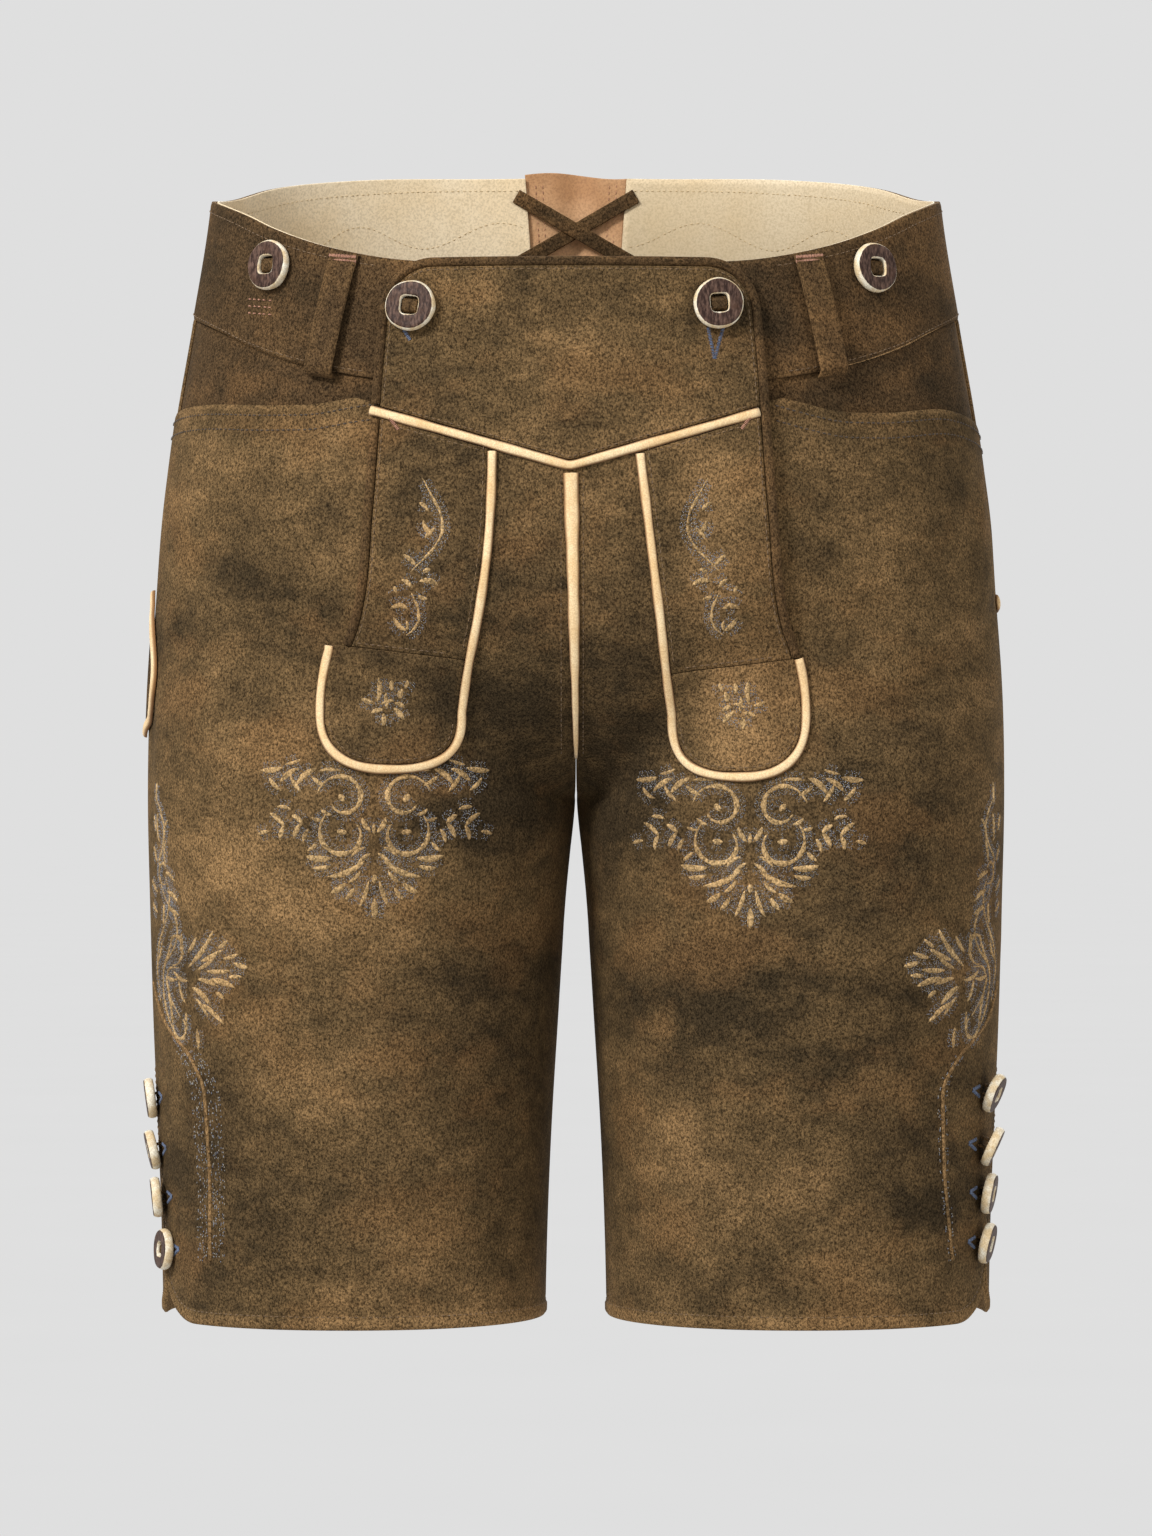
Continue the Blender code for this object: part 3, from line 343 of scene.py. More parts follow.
section = curve(SECTIONS, SECTION_COLUMNS)
band_top = curve(BAND_TOP, BAND_TOP_COLUMNS)
side_seam = curve(SIDE_SEAM, SIDE_SEAM_COLUMNS)
flap_half_width = curve(FLAP_WIDTH, FLAP_WIDTH_COLUMNS)
strip_edge = curve(STRIP_EDGE, STRIP_EDGE_COLUMNS)
mouth_edge = curve(MOUTH, MOUTH_COLUMNS)


def rounded(angle, power):
    """Sine and cosine of the angle, both divided by (|sin|^power + |cos|^power)^(1/power)."""
    push = (np.abs(np.sin(angle)) ** power + np.abs(np.cos(angle)) ** power) ** (-1 / power)
    return np.sin(angle) * push, np.cos(angle) * push


def body_section(s, z):
    """Half of the hip section: (half width x rounded sine, depth x rounded cosine) of a half turn."""
    out, ahead = rounded(np.pi * s, section(z, "body_power"))
    depth = np.where(ahead > 0, section(z, "body_front"), section(z, "body_back"))
    return section(z) * out, -depth * ahead


def leg_section(s, z):
    """A whole leg section: its middle plus half its width and its depth, round a whole turn."""
    ahead, inward = rounded(2 * np.pi * s, LEG_POWER)
    inner, outer = section(z, "inner_x"), section(z)
    depth = np.where(ahead > 0, section(z, "leg_front"), section(z, "leg_back"))
    return (inner + outer) / 2 - (outer - inner) / 2 * inward, -depth * ahead


def body_share(s, z):
    """0 on a leg and 1 on the body. Near the middle it is a quarter circle, the crotch's curve."""
    rise = np.clip((z - CROTCH_Z) / (SEAT_Z - CROTCH_Z), 0, 1)
    middle = np.cos(np.pi * s) ** 6
    return middle * np.sqrt(rise * (2 - rise)) + (1 - middle) * rise * rise * (3 - 2 * rise)


def bare_skin(side, s, z):
    """The leg's section and the body's section, mixed by the body's share."""
    share = body_share(s, z)
    body, leg = body_section(s, z), leg_section(s, z)
    x = share * body[0] + (1 - share) * leg[0]
    y = share * body[1] + (1 - share) * leg[1]
    return np.stack([side * x, y, z + 0 * x], axis=-1)


def unit(vectors):
    """The vectors, each divided by its length."""
    return vectors / np.linalg.norm(vectors, axis=-1, keepdims=True)


def skin_normal(side, s, z, step=1e-4):
    """The cross product of the bare skin's differences along the girth and up."""
    girth_step = step / GIRTH
    along = bare_skin(side, s + girth_step, z) - bare_skin(side, s - girth_step, z)
    up = bare_skin(side, s, z + step) - bare_skin(side, s, z - step)
    return unit(np.cross(along, up) * np.reshape(side, np.shape(side) + (1,)))


def fold_height(side, s, z):
    """The sum of the folds: each is depth x exp(-(along / long)^2 - (across / wide)^2)."""
    height = np.zeros(np.broadcast(side, s, z).shape)
    for fold in rows(FOLDS + CREASES, FOLD_COLUMNS):
        across, up = (s - fold["s"]) * GIRTH, z - fold["z"]
        lean = math.radians(fold["turn"])
        along_line = up * math.cos(lean) + across * math.sin(lean)
        off_line = across * math.cos(lean) - up * math.sin(lean)
        reach = (along_line / fold["long"]) ** 2 + (off_line / fold["wide"]) ** 2
        bell = fold["depth"] * np.exp(-reach)
        height = height + np.where((fold["side"] == 0) | (side == fold["side"]), bell, 0)
    return height


def skin(side, s, z):
    """Points and outward normals: the bare skin moved along its normal by the folds' height."""
    side, s, z = np.broadcast_arrays(side, np.asarray(s, float), np.asarray(z, float))
    normal = skin_normal(side, s, z)
    return bare_skin(side, s, z) + normal * fold_height(side, s, z)[..., None], normal


def girth_at(x, z, back=False):
    """The girth share at which the skin's front, or its back, is x from the middle, by halving."""
    low, high = (np.full(np.shape(x), 0.5), np.full(np.shape(x), 1.0))
    if not back:
        low, high = np.zeros(np.shape(x)), low
    for _ in range(26):
        middle = (low + high) / 2
        beyond = bare_skin(1, middle, z)[..., 0] < x
        beyond = beyond != back
        low, high = np.where(beyond, middle, low), np.where(beyond, high, middle)
    return (low + high) / 2


def skin_by_x(x, z, back=False):
    """Points and normals of the front, or the back, at signed distances x from the middle."""
    x, z = np.broadcast_arrays(np.asarray(x, float), np.asarray(z, float))
    side = np.where(x < 0, -1, 1)
    return skin(side, girth_at(np.abs(x), z, back), z)


def band_bottom(s):
    """Height of the waistband's lower edge."""
    return band_top(s) - BAND_HEIGHT


def half_gap(z):
    """Half the width of the back's laced gap."""
    return np.interp(z, *named(GAP, GAP_COLUMNS, "half_gap"))


def point_line(x):
    """Height of the flap's pointed seam at x, measured from the flap's own middle."""
    return POINT_Z + POINT_SLOPE * np.abs(x)


def own_side(side):
    """The side's name."""
    return "left" if side > 0 else "right"


def strip_inner(side, z):
    """How far a strip's inner edge is from the flap's middle."""
    return strip_edge(z, own_side(side))


def mouth_line(side, s):
    """Height of a pocket mouth."""
    return mouth_edge(s, own_side(side))


def foot(side, column):
    """A value of a strip's foot."""
    return FEET[side][FOOT_COLUMNS.index(column)]


def strip_end(side, x):
    """Height of the seam between a strip and its foot."""
    start = strip_inner(side, foot(side, "seam_z"))
    return foot(side, "seam_z") + foot(side, "seam_slope") * (x - start)


def flap_lift(x, z):
    """How far the flap stands off the panels: most x (outward share)^2 x (height share)."""
    own = x - FLAP_X
    most = np.where(own > 0, FREE_EDGE_LIFT[1], FREE_EDGE_LIFT[-1])
    outward = np.clip((np.abs(own) - LIFT_INNER_X) / (LIFT_OUTER_X - LIFT_INNER_X), 0, 1.2)
    height = np.clip((z - LIFT_START_Z) / 0.030, 0, 1) * np.clip((0.012 - z) / 0.060, 0.35, 1)
    return 0.0002 + most * outward**2 * height


def mouth_lift(side, s, z):
    """The pocket mouth stands open a little beside the flap: a bell along the girth."""
    near_mouth = np.clip((z - MOUTH[0][1] + 0.035) / 0.030, 0, 1)
    bulge = MOUTH_GAPE[side] * np.exp(-(((s - MOUTH_GAPE_S) / MOUTH_GAPE_WIDE) ** 2))
    return SEAM * near_mouth + bulge * near_mouth**2


def foot_edges(side, z, inset):
    """The inner and outer edge of a foot at height z: a rounded square below its shoulder."""
    shoulder, middle = foot(side, "shoulder_z"), foot(side, "middle")
    below = np.clip((shoulder - z) / (foot(side, "depth") - inset), 0, 1)
    half = (foot(side, "half_width") - inset) * (1 - below**FOOT_POWER) ** (1 / FOOT_POWER)
    lean = np.clip((z - shoulder) / 0.030, 0, 1)
    inner = np.where(z > shoulder, strip_inner(side, z) + inset, middle - half)
    return inner, middle + half - 0.0045 * lean**2


def back_end(z):
    """The girth share at which the back ends: at the middle, or at the gusset's edge higher up."""
    edge = girth_at(half_gap(z) + SEAM / 2, z, back=True)
    return np.where(z > GUSSET_TIP_Z, edge, 1 - HALF_SEAM_S)


def steps(start, end, count):
    """Even values, one in each row."""
    return np.linspace(start, end, count)[:, None]


def spaced(length, step):
    """Shares from 0 to 1 along a length: the edge lines at both ends, and even between them."""
    ends = np.array(EDGE_LINES) / length
    count = max(int(round((length - 2 * EDGE_LINES[-1]) / step)), 2)
    middle = np.linspace(ends[-1], 1 - ends[-1], count + 1)[1:-1]
    return np.concatenate([ends, middle, 1 - ends[::-1]])


def smoothstep(value, low, high):
    """t^2 (3 - 2t), where t is the value's share of the way from low to high."""
    share = np.clip((value - low) / (high - low), 0, 1)
    return share * share * (3 - 2 * share)


# Finishes


def paint(red, green, blue):
    """A colour from its 0 to 255 screen values."""
    shares = np.array([red, green, blue]) / 255
    linear = np.where(shares <= 0.04045, shares / 12.92, ((shares + 0.055) / 1.055) ** 2.4)
    return (*linear.tolist(), 1.0)


def operator(name, reflected=False):
    """A Python operator that adds a Math node."""

    def apply(self, other):
        """The node's value."""
        first, second = (other, self) if reflected else (self, other)
        return self.finish.add("ShaderNodeMath", {"operation": name}, {0: first, 1: second})

    return apply


class Value:
    """A socket's value in a finish, on which Python's operators work."""

    __add__, __radd__ = operator("ADD"), operator("ADD", True)
    __sub__, __mul__ = operator("SUBTRACT"), operator("MULTIPLY")

    def __init__(self, finish, socket):
        """The value of that socket of the finish."""
        self.finish = finish
        self.socket = socket

    def between(self, low, high):
        """0 below low, 1 above high, and a smooth step between them."""
        settings = {"interpolation_type": "SMOOTHSTEP"}
        return self.finish.add("ShaderNodeMapRange", settings, {0: self, 1: low, 2: high})


class Finish:
    """A material: constants on its shader's sockets, and nodes that add what varies."""

    def __init__(self, name, **constants):
        """A new material, with its constants under their sockets' names."""
        self.material = bpy.data.materials.new(name)
        self.material.use_nodes = True
        self.tree = self.material.node_tree
        self.shader = self.tree.nodes["Principled BSDF"]
        for socket, value in constants.items():
            self.shader.inputs[socket.replace("_", " ").title()].default_value = value

    def add(self, kind, settings, sockets, output=0):
        """A node of that type with its settings, then its sockets' values or links."""
        node = self.tree.nodes.new(kind)
        for key, value in settings.items():
            setattr(node, key, value)
        for key, value in sockets.items():
            if isinstance(value, Value):
                self.tree.links.new(value.socket, node.inputs[key])
            else:
                node.inputs[key].default_value = value
        return Value(self, node.outputs[output])

    def place(self):
        """Object coordinates."""
        return self.add("ShaderNodeTexCoord", {}, {}, 3)

    def attribute(self, name):
        """The mesh's own value of that name."""
        return self.add("ShaderNodeAttribute", {"attribute_name": name}, {}, 2)

    def noise(self, scale, detail=3.0, roughness=0.55):
        """Noise from 0 to 1. A triple of scales stretches it along the axes."""
        place = self.place()
        if isinstance(scale, tuple):
            place, scale = self.add("ShaderNodeMapping", {}, {0: place, 3: scale}), 1.0
        sockets = {"Vector": place, "Scale": scale, "Detail": detail, "Roughness": roughness}
        return self.add("ShaderNodeTexNoise", {}, sockets)

    def mix(self, share, first, second):
        """first, and second as far as the share says."""
        sockets = {0: share, 6: first, 7: second}
        return self.add("ShaderNodeMix", {"data_type": "RGBA"}, sockets, 2)

    def bump(self, height, strength, distance):
        """Fine relief on the shader's normal."""
        sockets = {"Strength": strength, "Distance": distance, "Height": height}
        normal = self.add("ShaderNodeBump", {}, sockets)
        self.tree.links.new(normal.socket, self.shader.inputs["Normal"])

    def show(self, **values):
        """Links values to the shader's sockets."""
        for socket, value in values.items():
            name = socket.replace("_", " ").title()
            self.tree.links.new(value.socket, self.shader.inputs[name])
        return self.material


def suede(name, dark, middle, light, flesh, contrast=1.0, warm=paint(119, 88, 55)):
    """Brushed leather: cloudy patches of a few centimetres, under a fleck of about a millimetre.

    The tone is the piece's own tone attribute, which carries worn patches and painted shade, plus three
    noises of 90, 30 and 9 mm. Where a fourth is high the colour is warmer. The fleck multiplies the
    colour by 0.24 to 1.99. The flesh side, inside, is paler and rougher.
    """
    finish = Finish(name, roughness=0.95, sheen_weight=0.08, sheen_roughness=0.5)
    finish.shader.inputs["Sheen Tint"].default_value = paint(190, 156, 110)
    finish.shader.inputs["Specular IOR Level"].default_value = 0.06
    cloud = finish.noise((10.0, 10.0, 14.0), 3.0, 0.5)
    patch = finish.noise((30.0, 30.0, 46.0), 5.0, 0.62)
    mottle = finish.noise((105.0, 105.0, 150.0), 3.0, 0.6)
    rust = finish.noise((17.0, 17.0, 26.0), 4.0, 0.6)
    fleck = finish.noise(760.0, 4.0, 0.8)
    grain = finish.noise((1500.0, 1500.0, 900.0), 3.0, 0.7)
    tone = finish.attribute("tone") + (cloud - 0.5) * (1.5 * contrast)
    tone = tone + (patch - 0.5) * (1.9 * contrast) + (mottle - 0.5) * (0.95 * contrast)
    colour = finish.mix(tone.between(-0.70, 0.20), dark, middle)
    colour = finish.mix(tone.between(-0.05, 1.05), colour, light)
    colour = finish.mix(rust.between(0.49, 0.67) * 0.34, colour, warm)
    shaded = tuple(0.72 * channel for channel in flesh[:3]) + (1,)
    inside = finish.mix(grain.between(0.35, 0.68), flesh, shaded)
    colour = finish.mix(finish.attribute("flesh"), colour, inside)
    speckle = (fleck * 0.55 + grain * 0.45).between(0.38, 0.65) * 1.75 + 0.24
    scaled = {0: colour, "Scale": speckle}
    colour = finish.add("ShaderNodeVectorMath", {"operation": "SCALE"}, scaled)
    finish.bump(fleck * 0.6 + grain * 0.4, 0.5, 0.0008)
    return finish.show(base_color=colour)


def piping(name, pale, warm, shade):
    """Smooth chamois: pale with warmer blots and streaks, and painted shade that darkens the bead from
    its sides to its foot.
    """
    finish = Finish(name, roughness=0.78, sheen_weight=0.1)
    finish.shader.inputs["Specular IOR Level"].default_value = 0.25
    across = finish.attribute("across")
    streak = finish.noise((220.0, 220.0, 90.0), 3.0, 0.6)
    blot = finish.noise(45.0, 3.0)
    grain = finish.noise(1500.0, 2.0)
    colour = finish.mix((blot + streak * 0.6).between(0.55, 1.05), pale, warm)
    # Painted shade on the bead's sides and its foot, mixed in by the across attribute
    colour = finish.mix(across.between(0.55, 1.0), colour, shade)
    colour = finish.mix(grain.between(0.62, 0.40) * 0.30, colour, shade)
    finish.bump(grain * 0.5 + streak * 0.5, 0.35, 0.0004)
    return finish.show(base_color=colour, roughness=0.70 + grain * 0.2)


def smooth_leather(name, pale, warm, shade, grain_scale=900.0):
    """Thin lining leather: faint cloudy stains, fine pores, and darker where the tone attribute falls
    below 0, which on the lining is painted shade.
    """
    finish = Finish(name, roughness=0.62, sheen_weight=0.08)
    finish.shader.inputs["Specular IOR Level"].default_value = 0.3
    cloud = finish.noise(14.0, 4.0)
    pores = finish.noise(grain_scale, 3.0, 0.6)
    colour = finish.mix(cloud.between(0.36, 0.70), pale, warm)
    colour = finish.mix(pores.between(0.60, 0.34) * 0.35, colour, shade)
    # Painted shade: a tone below 0 darkens the colour towards the shade colour
    colour = finish.mix(finish.attribute("tone").between(0.0, -1.0), colour, shade)
    finish.bump(pores, 0.30, 0.0004)
    return finish.show(base_color=colour, roughness=0.55 + pores * 0.2)


def horn(name):
    """Cut antler: a streaked dark face, a pale rim where the face is polished through."""
    finish = Finish(name, roughness=0.45, coat_weight=0.02, coat_roughness=0.3)
    finish.shader.inputs["Specular IOR Level"].default_value = 0.15
    rim = finish.attribute("rim")
    streak = finish.noise((900.0, 900.0, 260.0), 4.0, 0.65)
    blot = finish.noise(190.0, 3.0)
    grain = finish.noise(1600.0, 2.0)
    face = finish.mix(streak.between(0.38, 0.70), paint(44, 28, 22), paint(104, 80, 68))
    face = finish.mix(blot.between(0.50, 0.72) * 0.6, face, paint(70, 46, 32))
    edge = finish.mix(blot.between(0.34, 0.66), paint(246, 238, 216), paint(222, 198, 156))
    edge = finish.mix(grain.between(0.62, 0.40) * 0.3, edge, paint(120, 84, 50))
    colour = finish.mix((rim + (streak - 0.5) * 0.5).between(0.35, 0.65), face, edge)
    finish.bump(streak * 0.6 + grain * 0.4, 0.35, 0.0005)
    return finish.show(base_color=colour, roughness=0.38 + streak * 0.25)


def thread(name, pale, dark):
    """Twisted thread: fine slanting light and dark."""
    finish = Finish(name, roughness=0.7, sheen_weight=0.15)
    twist = finish.noise(2600.0, 2.0)
    worn = finish.noise(160.0, 2.0)
    colour = finish.mix((twist * 0.7 + worn * 0.3).between(0.38, 0.62), dark, pale)
    finish.bump(twist, 0.4, 0.0002)
    return finish.show(base_color=colour)


FINISHES = {
    "outer_suede": suede(
        "brown_suede",
        paint(52, 42, 28),
        paint(87, 69, 45),
        paint(129, 101, 67),
        paint(140, 112, 78),
    ),
    "dark_suede": suede(
        "dark_suede",
        paint(46, 37, 25),
        paint(72, 55, 36),
        paint(100, 77, 49),
        paint(118, 94, 66),
        contrast=0.8,
    ),
    "piping_leather": piping(
        "chamois_piping", paint(240, 214, 170), paint(226, 190, 138), paint(134, 94, 54)
    ),
    "lining_leather": smooth_leather(
        "ivory_lining", paint(240, 222, 190), paint(230, 206, 166), paint(150, 132, 100)
    ),
    "gusset_leather": smooth_leather(
        "gusset_leather", paint(212, 170, 128), paint(176, 130, 88), paint(112, 76, 50)
    ),
    "horn": horn("stag_horn"),
}
# The finishes from here on are for what is sewn on
# The raised strokes' paler colours are partly wear and partly a painted highlight on their tops
FINISHES["relief"] = suede(
    "relief_suede",
    paint(122, 98, 66),
    paint(160, 132, 92),
    paint(196, 166, 122),
    paint(138, 108, 70),
    contrast=0.9,
    warm=paint(160, 124, 80),
)
THREAD_COLUMNS = ("finish", "material", "pale", "dark")
THREADS = (
    ("seam_thread", "brown_thread", (136, 108, 74), (78, 58, 38)),
    ("blue_thread", "blue_grey_thread", (126, 132, 148), (80, 84, 100)),
    ("buttonhole_thread", "buttonhole_thread", (100, 116, 146), (52, 60, 80)),
    ("white_thread", "grey_white_thread", (178, 170, 154), (122, 118, 110)),
    ("dark_thread", "dark_thread", (74, 56, 38), (40, 32, 24)),
    ("cream_thread", "cream_thread", (206, 184, 140), (156, 128, 84)),
    ("rust_thread", "rust_thread", (190, 138, 112), (134, 88, 66)),
)
for row in rows(THREADS, THREAD_COLUMNS):
    FINISHES[row["finish"]] = thread(row["material"], paint(*row["pale"]), paint(*row["dark"]))


# Meshes


def add_piece(name, points, faces, finish, **attributes):
    """A closed mesh of four-sided faces at the origin, on the frame's one body.

    The sum of the faces' signed volumes tells whether they point inwards, and then all are turned.
    """
    corners = points[faces]
    first = np.cross(corners[:, 1], corners[:, 2])
    second = np.cross(corners[:, 2], corners[:, 3])
    if (corners[:, 0] * (first + second)).sum() < 0:
        faces = faces[:, ::-1]
    mesh = bpy.data.meshes.new(name)
    mesh.vertices.add(len(points))
    mesh.vertices.foreach_set("co", points.astype(np.float32).ravel())
    mesh.loops.add(faces.size)
    mesh.loops.foreach_set("vertex_index", faces.astype(np.int32).ravel())
    mesh.polygons.add(len(faces))
    mesh.polygons.foreach_set("loop_start", np.arange(0, faces.size, 4, dtype=np.int32))
    mesh.update(calc_edges=True)
    for key, values in attributes.items():
        attribute = mesh.attributes.new(key, "FLOAT", "POINT")
        attribute.data.foreach_set("value", values.astype(np.float32).ravel())
    mesh.shade_smooth()
    mesh.materials.append(FINISHES[finish])
    piece = bpy.data.objects.new(name, mesh)
    bpy.context.scene.collection.objects.link(piece)
    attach(piece, "root")
    return piece


def grid_faces(index):
    """Four-sided faces over a grid of vertex numbers."""
    corners = (index[:-1, :-1], index[:-1, 1:], index[1:, 1:], index[1:, :-1])
    return np.stack(corners, axis=-1).reshape(-1, 4)


def reach_along(points):
    """The length of a path up to each of its points."""
    lengths = np.linalg.norm(np.diff(points, axis=0), axis=1)
    return np.concatenate([[0], np.cumsum(lengths)])


def resampled(points, reach, at):
    """A path's points where its length is at."""
    return np.stack([np.interp(at, reach, column) for column in points.T], axis=-1)


def smoothed(path, times):
    """A path, each inner point moved that many times to (before + 2 x itself + after) / 4."""
    for _ in range(times):
        path[1:-1] = (path[:-2] + 2 * path[1:-1] + path[2:]) / 4
    return path


def edge_distance(points):
    """Each grid point's distance to the grid's nearest edge, along its row or its column."""
    nearest = np.full(points.shape[:2], 1.0)
    for axis in (0, 1):
        lengths = np.linalg.norm(np.diff(points, axis=axis), axis=-1)
        reach = np.cumsum(lengths, axis=axis)
        reach = np.concatenate([np.zeros_like(np.take(reach, [0], axis)), reach], axis=axis)
        left = np.take(reach, [-1], axis) - reach
        nearest = np.minimum(nearest, np.minimum(reach, left))
    return nearest


def wear_and_painted_shade(points, edge):
    """The tone of soft listed patches, partly worn places and partly painted shade, and a pale worn line
    just inside the edges.
    """
    tone = np.zeros(points.shape[:-1])
    for spot in rows(WEAR_AND_PAINTED_SHADE_PATCHES, WEAR_AND_PAINTED_SHADE_COLUMNS):
        across = (points[..., 0] - spot["x"]) / spot["wide"]
        up = (points[..., 2] - spot["z"]) / spot["tall"]
        same = points[..., 1] * spot["front"] < 0
        tone += np.where(same, spot["tone"] * np.exp(-(across**2) - up**2), 0)
    return tone + 0.22 * np.exp(-(((edge - 0.0012) / 0.0010) ** 2))


def cut_size(outer):
    """The size that a sheet is cut to, in metres: its longest row, longest column and area."""
    across = np.linalg.norm(np.diff(outer, axis=1), axis=-1).sum(axis=1).max()
    down = np.linalg.norm(np.diff(outer, axis=0), axis=-1).sum(axis=0).max()
    first, second = outer[1:, 1:] - outer[:-1, :-1], outer[1:, :-1] - outer[:-1, 1:]
    return across, down, np.linalg.norm(np.cross(first, second), axis=-1).sum() / 2


# What declare_sheets reads: each leather sheet with its cut size, and what is sewn on each
SHEETS = {}
SEWN_ON = {}


def shell(name, surface, out, thick, finish, sink=0.0004, bulge=0.00025, tone=0.0):
    """A leather sheet. Outer points are skin + normal x out, inner ones lie thick below.

    Near the edge the outer face sinks by sink x exp(-(distance / 1.1 mm)^2). Round the border runs
    a half-round edge: middle + normal x half thickness x cosine + outward x bulge x sine.
    """
    points, normals = surface
    shape = points.shape[:2]
    edge = edge_distance(points)
    sunk = sink * np.exp(-((edge / 0.0011) ** 2))
    out = np.broadcast_to(out, shape) - sunk
    thick = np.broadcast_to(thick, shape) - sunk
    outer = points + normals * out[..., None]
    inner = outer - normals * thick[..., None]
    index = np.arange(outer[..., 0].size).reshape(shape)
    border = np.concatenate([index[0, :-1], index[:-1, -1], index[-1, :0:-1], index[:0:-1, 0]])
    top, low, up = (part.reshape(-1, 3)[border] for part in (outer, inner, normals))
    outward = unit(np.cross(np.roll(top, -1, 0) - np.roll(top, 1, 0), up))
    middle = shape[1] // 2
    if ((outer[1, middle] - outer[0, middle]) * outward[middle]).sum() > 0:
        outward = -outward
    bend = np.pi * np.array([0.25, 0.5, 0.75])[:, None, None]
    rim = (top + low) / 2 + (top - low) / 2 * np.cos(bend) + outward * bulge * np.sin(bend)
    count = index.size
    rings = [border, *(2 * count + np.arange(3 * len(border)).reshape(3, -1)), border + count]
    faces = [grid_faces(index), grid_faces(index)[:, ::-1] + count]
    for this, following in zip(rings[:-1], rings[1:]):
        faces.append(np.stack([np.roll(this, -1), this, following, np.roll(following, -1)], axis=-1))
    whole = np.concatenate([outer.reshape(-1, 3), inner.reshape(-1, 3), rim.reshape(-1, 3)])
    # The tone: worn patches, painted shade patches, a pale worn line inside the edges, and the piece's
    # own tone
    shade = (wear_and_painted_shade(points, edge) + tone).ravel()
    rim_shade = np.tile(shade[border] + 0.25, 3)
    rim_flesh = np.repeat([0.15, 0.5, 0.8], len(border))
    flesh = np.concatenate([np.zeros(count), np.ones(count), rim_flesh])
    tone = np.concatenate([shade, shade, rim_shade])
    piece = add_piece(name, whole, np.concatenate(faces), finish, tone=tone, flesh=flesh)
    SHEETS[name] = (piece, cut_size(outer))
    return piece


def sewn_on(name, *pieces):
    """Notes the pieces that are sewn on a sheet."""
    SEWN_ON.setdefault(name, []).extend(pieces)
    return pieces[0]


# How each sheet is held, and the sheet that it hangs from or lies on
HANGS_FROM = {
    "front_leg": ("stretched", "facing"),
    "back_leg": ("hung", "band"),
    "band": ("stretched", "lining"),
    "lining": ("stretched", "band"),
    "facing": ("hung", "band"),
    "underlap": ("hung", "back_leg"),
    "strip": ("hung", "bib"),
    "foot": ("laid", "front_leg"),
    "gusset_sheet": ("folded", "band_left"),
    "bib": ("hung", "facing_left"),
    "knife_pocket_sheet": ("laid", "front_leg_right"),
}


def declare_sheets():
    """Goes through each leather sheet: works out how it is held, the sheet it hangs from, its cut area
    and what is sewn on it, but passes none of these on.
    """
    for name, (piece, (across, down, area)) in SHEETS.items():
        kind, own = name.rpartition("_")[::2]
        held, support = HANGS_FROM.get(name) or HANGS_FROM[kind]
        support = support if support in SHEETS else f"{support}_{own}"
        float(min(area, across * down))
        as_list(SEWN_ON.get(name, []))


def ladder_ends(corner):
    """Faces that close a tube's two end rings, from side to side."""
    half = corner.shape[1] // 2
    ends = []
    for ring in (corner[0], corner[-1][::-1]):
        there, back = ring[:half], ring[::-1][:half]
        ends.append(np.stack([there[:-1], back[:-1], back[1:], there[1:]], axis=-1))
    return ends


def tube_faces(stations, around):
    """Faces of a closed tube of rings, with its ends."""
    corner = np.arange(stations * around).reshape(stations, around)
    turned = np.roll(corner, -1, axis=1)
    sides = np.stack([corner[:-1], turned[:-1], turned[1:], corner[1:]], axis=-1).reshape(-1, 4)
    return np.concatenate([sides, *ladder_ends(corner)])


def rings_along(points, normals, profile):
    """Rings of points: each station's point + across x the profile's first + normal x its second."""
    along = unit(np.gradient(points, axis=-2))
    across = unit(np.cross(normals, along))
    profile = np.broadcast_to(profile, (*points.shape[:-1], *np.shape(profile)[-2:]))
    points, across, normals = points[..., None, :], across[..., None, :], normals[..., None, :]
    return points + across * profile[..., :1] + normals * profile[..., 1:]


def repeated(name, rings, finish, **attributes):
    """One mesh of many closed tubes: rings is (tubes, stations, around, 3)."""
    tubes, stations, around = rings.shape[:3]
    step = stations * around * np.arange(tubes)[:, None, None]
    faces = (tube_faces(stations, around) + step).reshape(-1, 4)
    return add_piece(name, rings.reshape(-1, 3), faces, finish, **attributes)


def sweep(name, points, normals, profile, finish, tone=0.0):
    """A trim: the profile carried along the path, with its ends closed.

    A piping's width is multiplied by 1 + 0.05 sin(reach / 9.5 mm) + 0.04 sin(reach / 3.7 mm + 2).
    """
    if finish == "piping_leather":
        reach = reach_along(points)
        uneven = 1 + 0.05 * np.sin(reach / 0.0095) + 0.04 * np.sin(reach / 0.0037 + 2)
        profile = profile * np.stack([uneven, np.ones_like(uneven)], axis=-1)[:, None]
    rings = rings_along(points, normals, profile)
    stations, around = rings.shape[:2]
    profile = np.broadcast_to(profile, (stations, *np.shape(profile)[-2:]))
    wide = np.abs(profile[..., 0]).max(axis=1, keepdims=True)
    # across runs from 0 at a trim's middle to 1 at its sides and on the leather; the piping's finish
    # paints shade by it
    across = np.abs(profile[..., 0]) / wide
    on_leather = profile[..., 1] <= 1e-9
    return add_piece(
        name,
        rings.reshape(-1, 3),
        tube_faces(stations, around),
        finish,
        across=np.where(on_leather, 1.0, across),
        tone=np.full(rings.shape[:2], tone) + 0.3 * across,
        flesh=np.zeros(rings.shape[:2]),
    )


def bead(width, height):
    """A welt's profile: a half ellipse over a flat foot, as pairs that face each other."""
    turn = np.linspace(np.pi, 0, 9)
    back = np.stack([np.cos(turn) / 2 * width, (0.18 + 0.82 * np.sin(turn)) * height], axis=-1)
    under = np.stack([np.linspace(0.48, -0.48, 9) * width, np.zeros(9)], axis=-1)
    return np.concatenate([back, under])


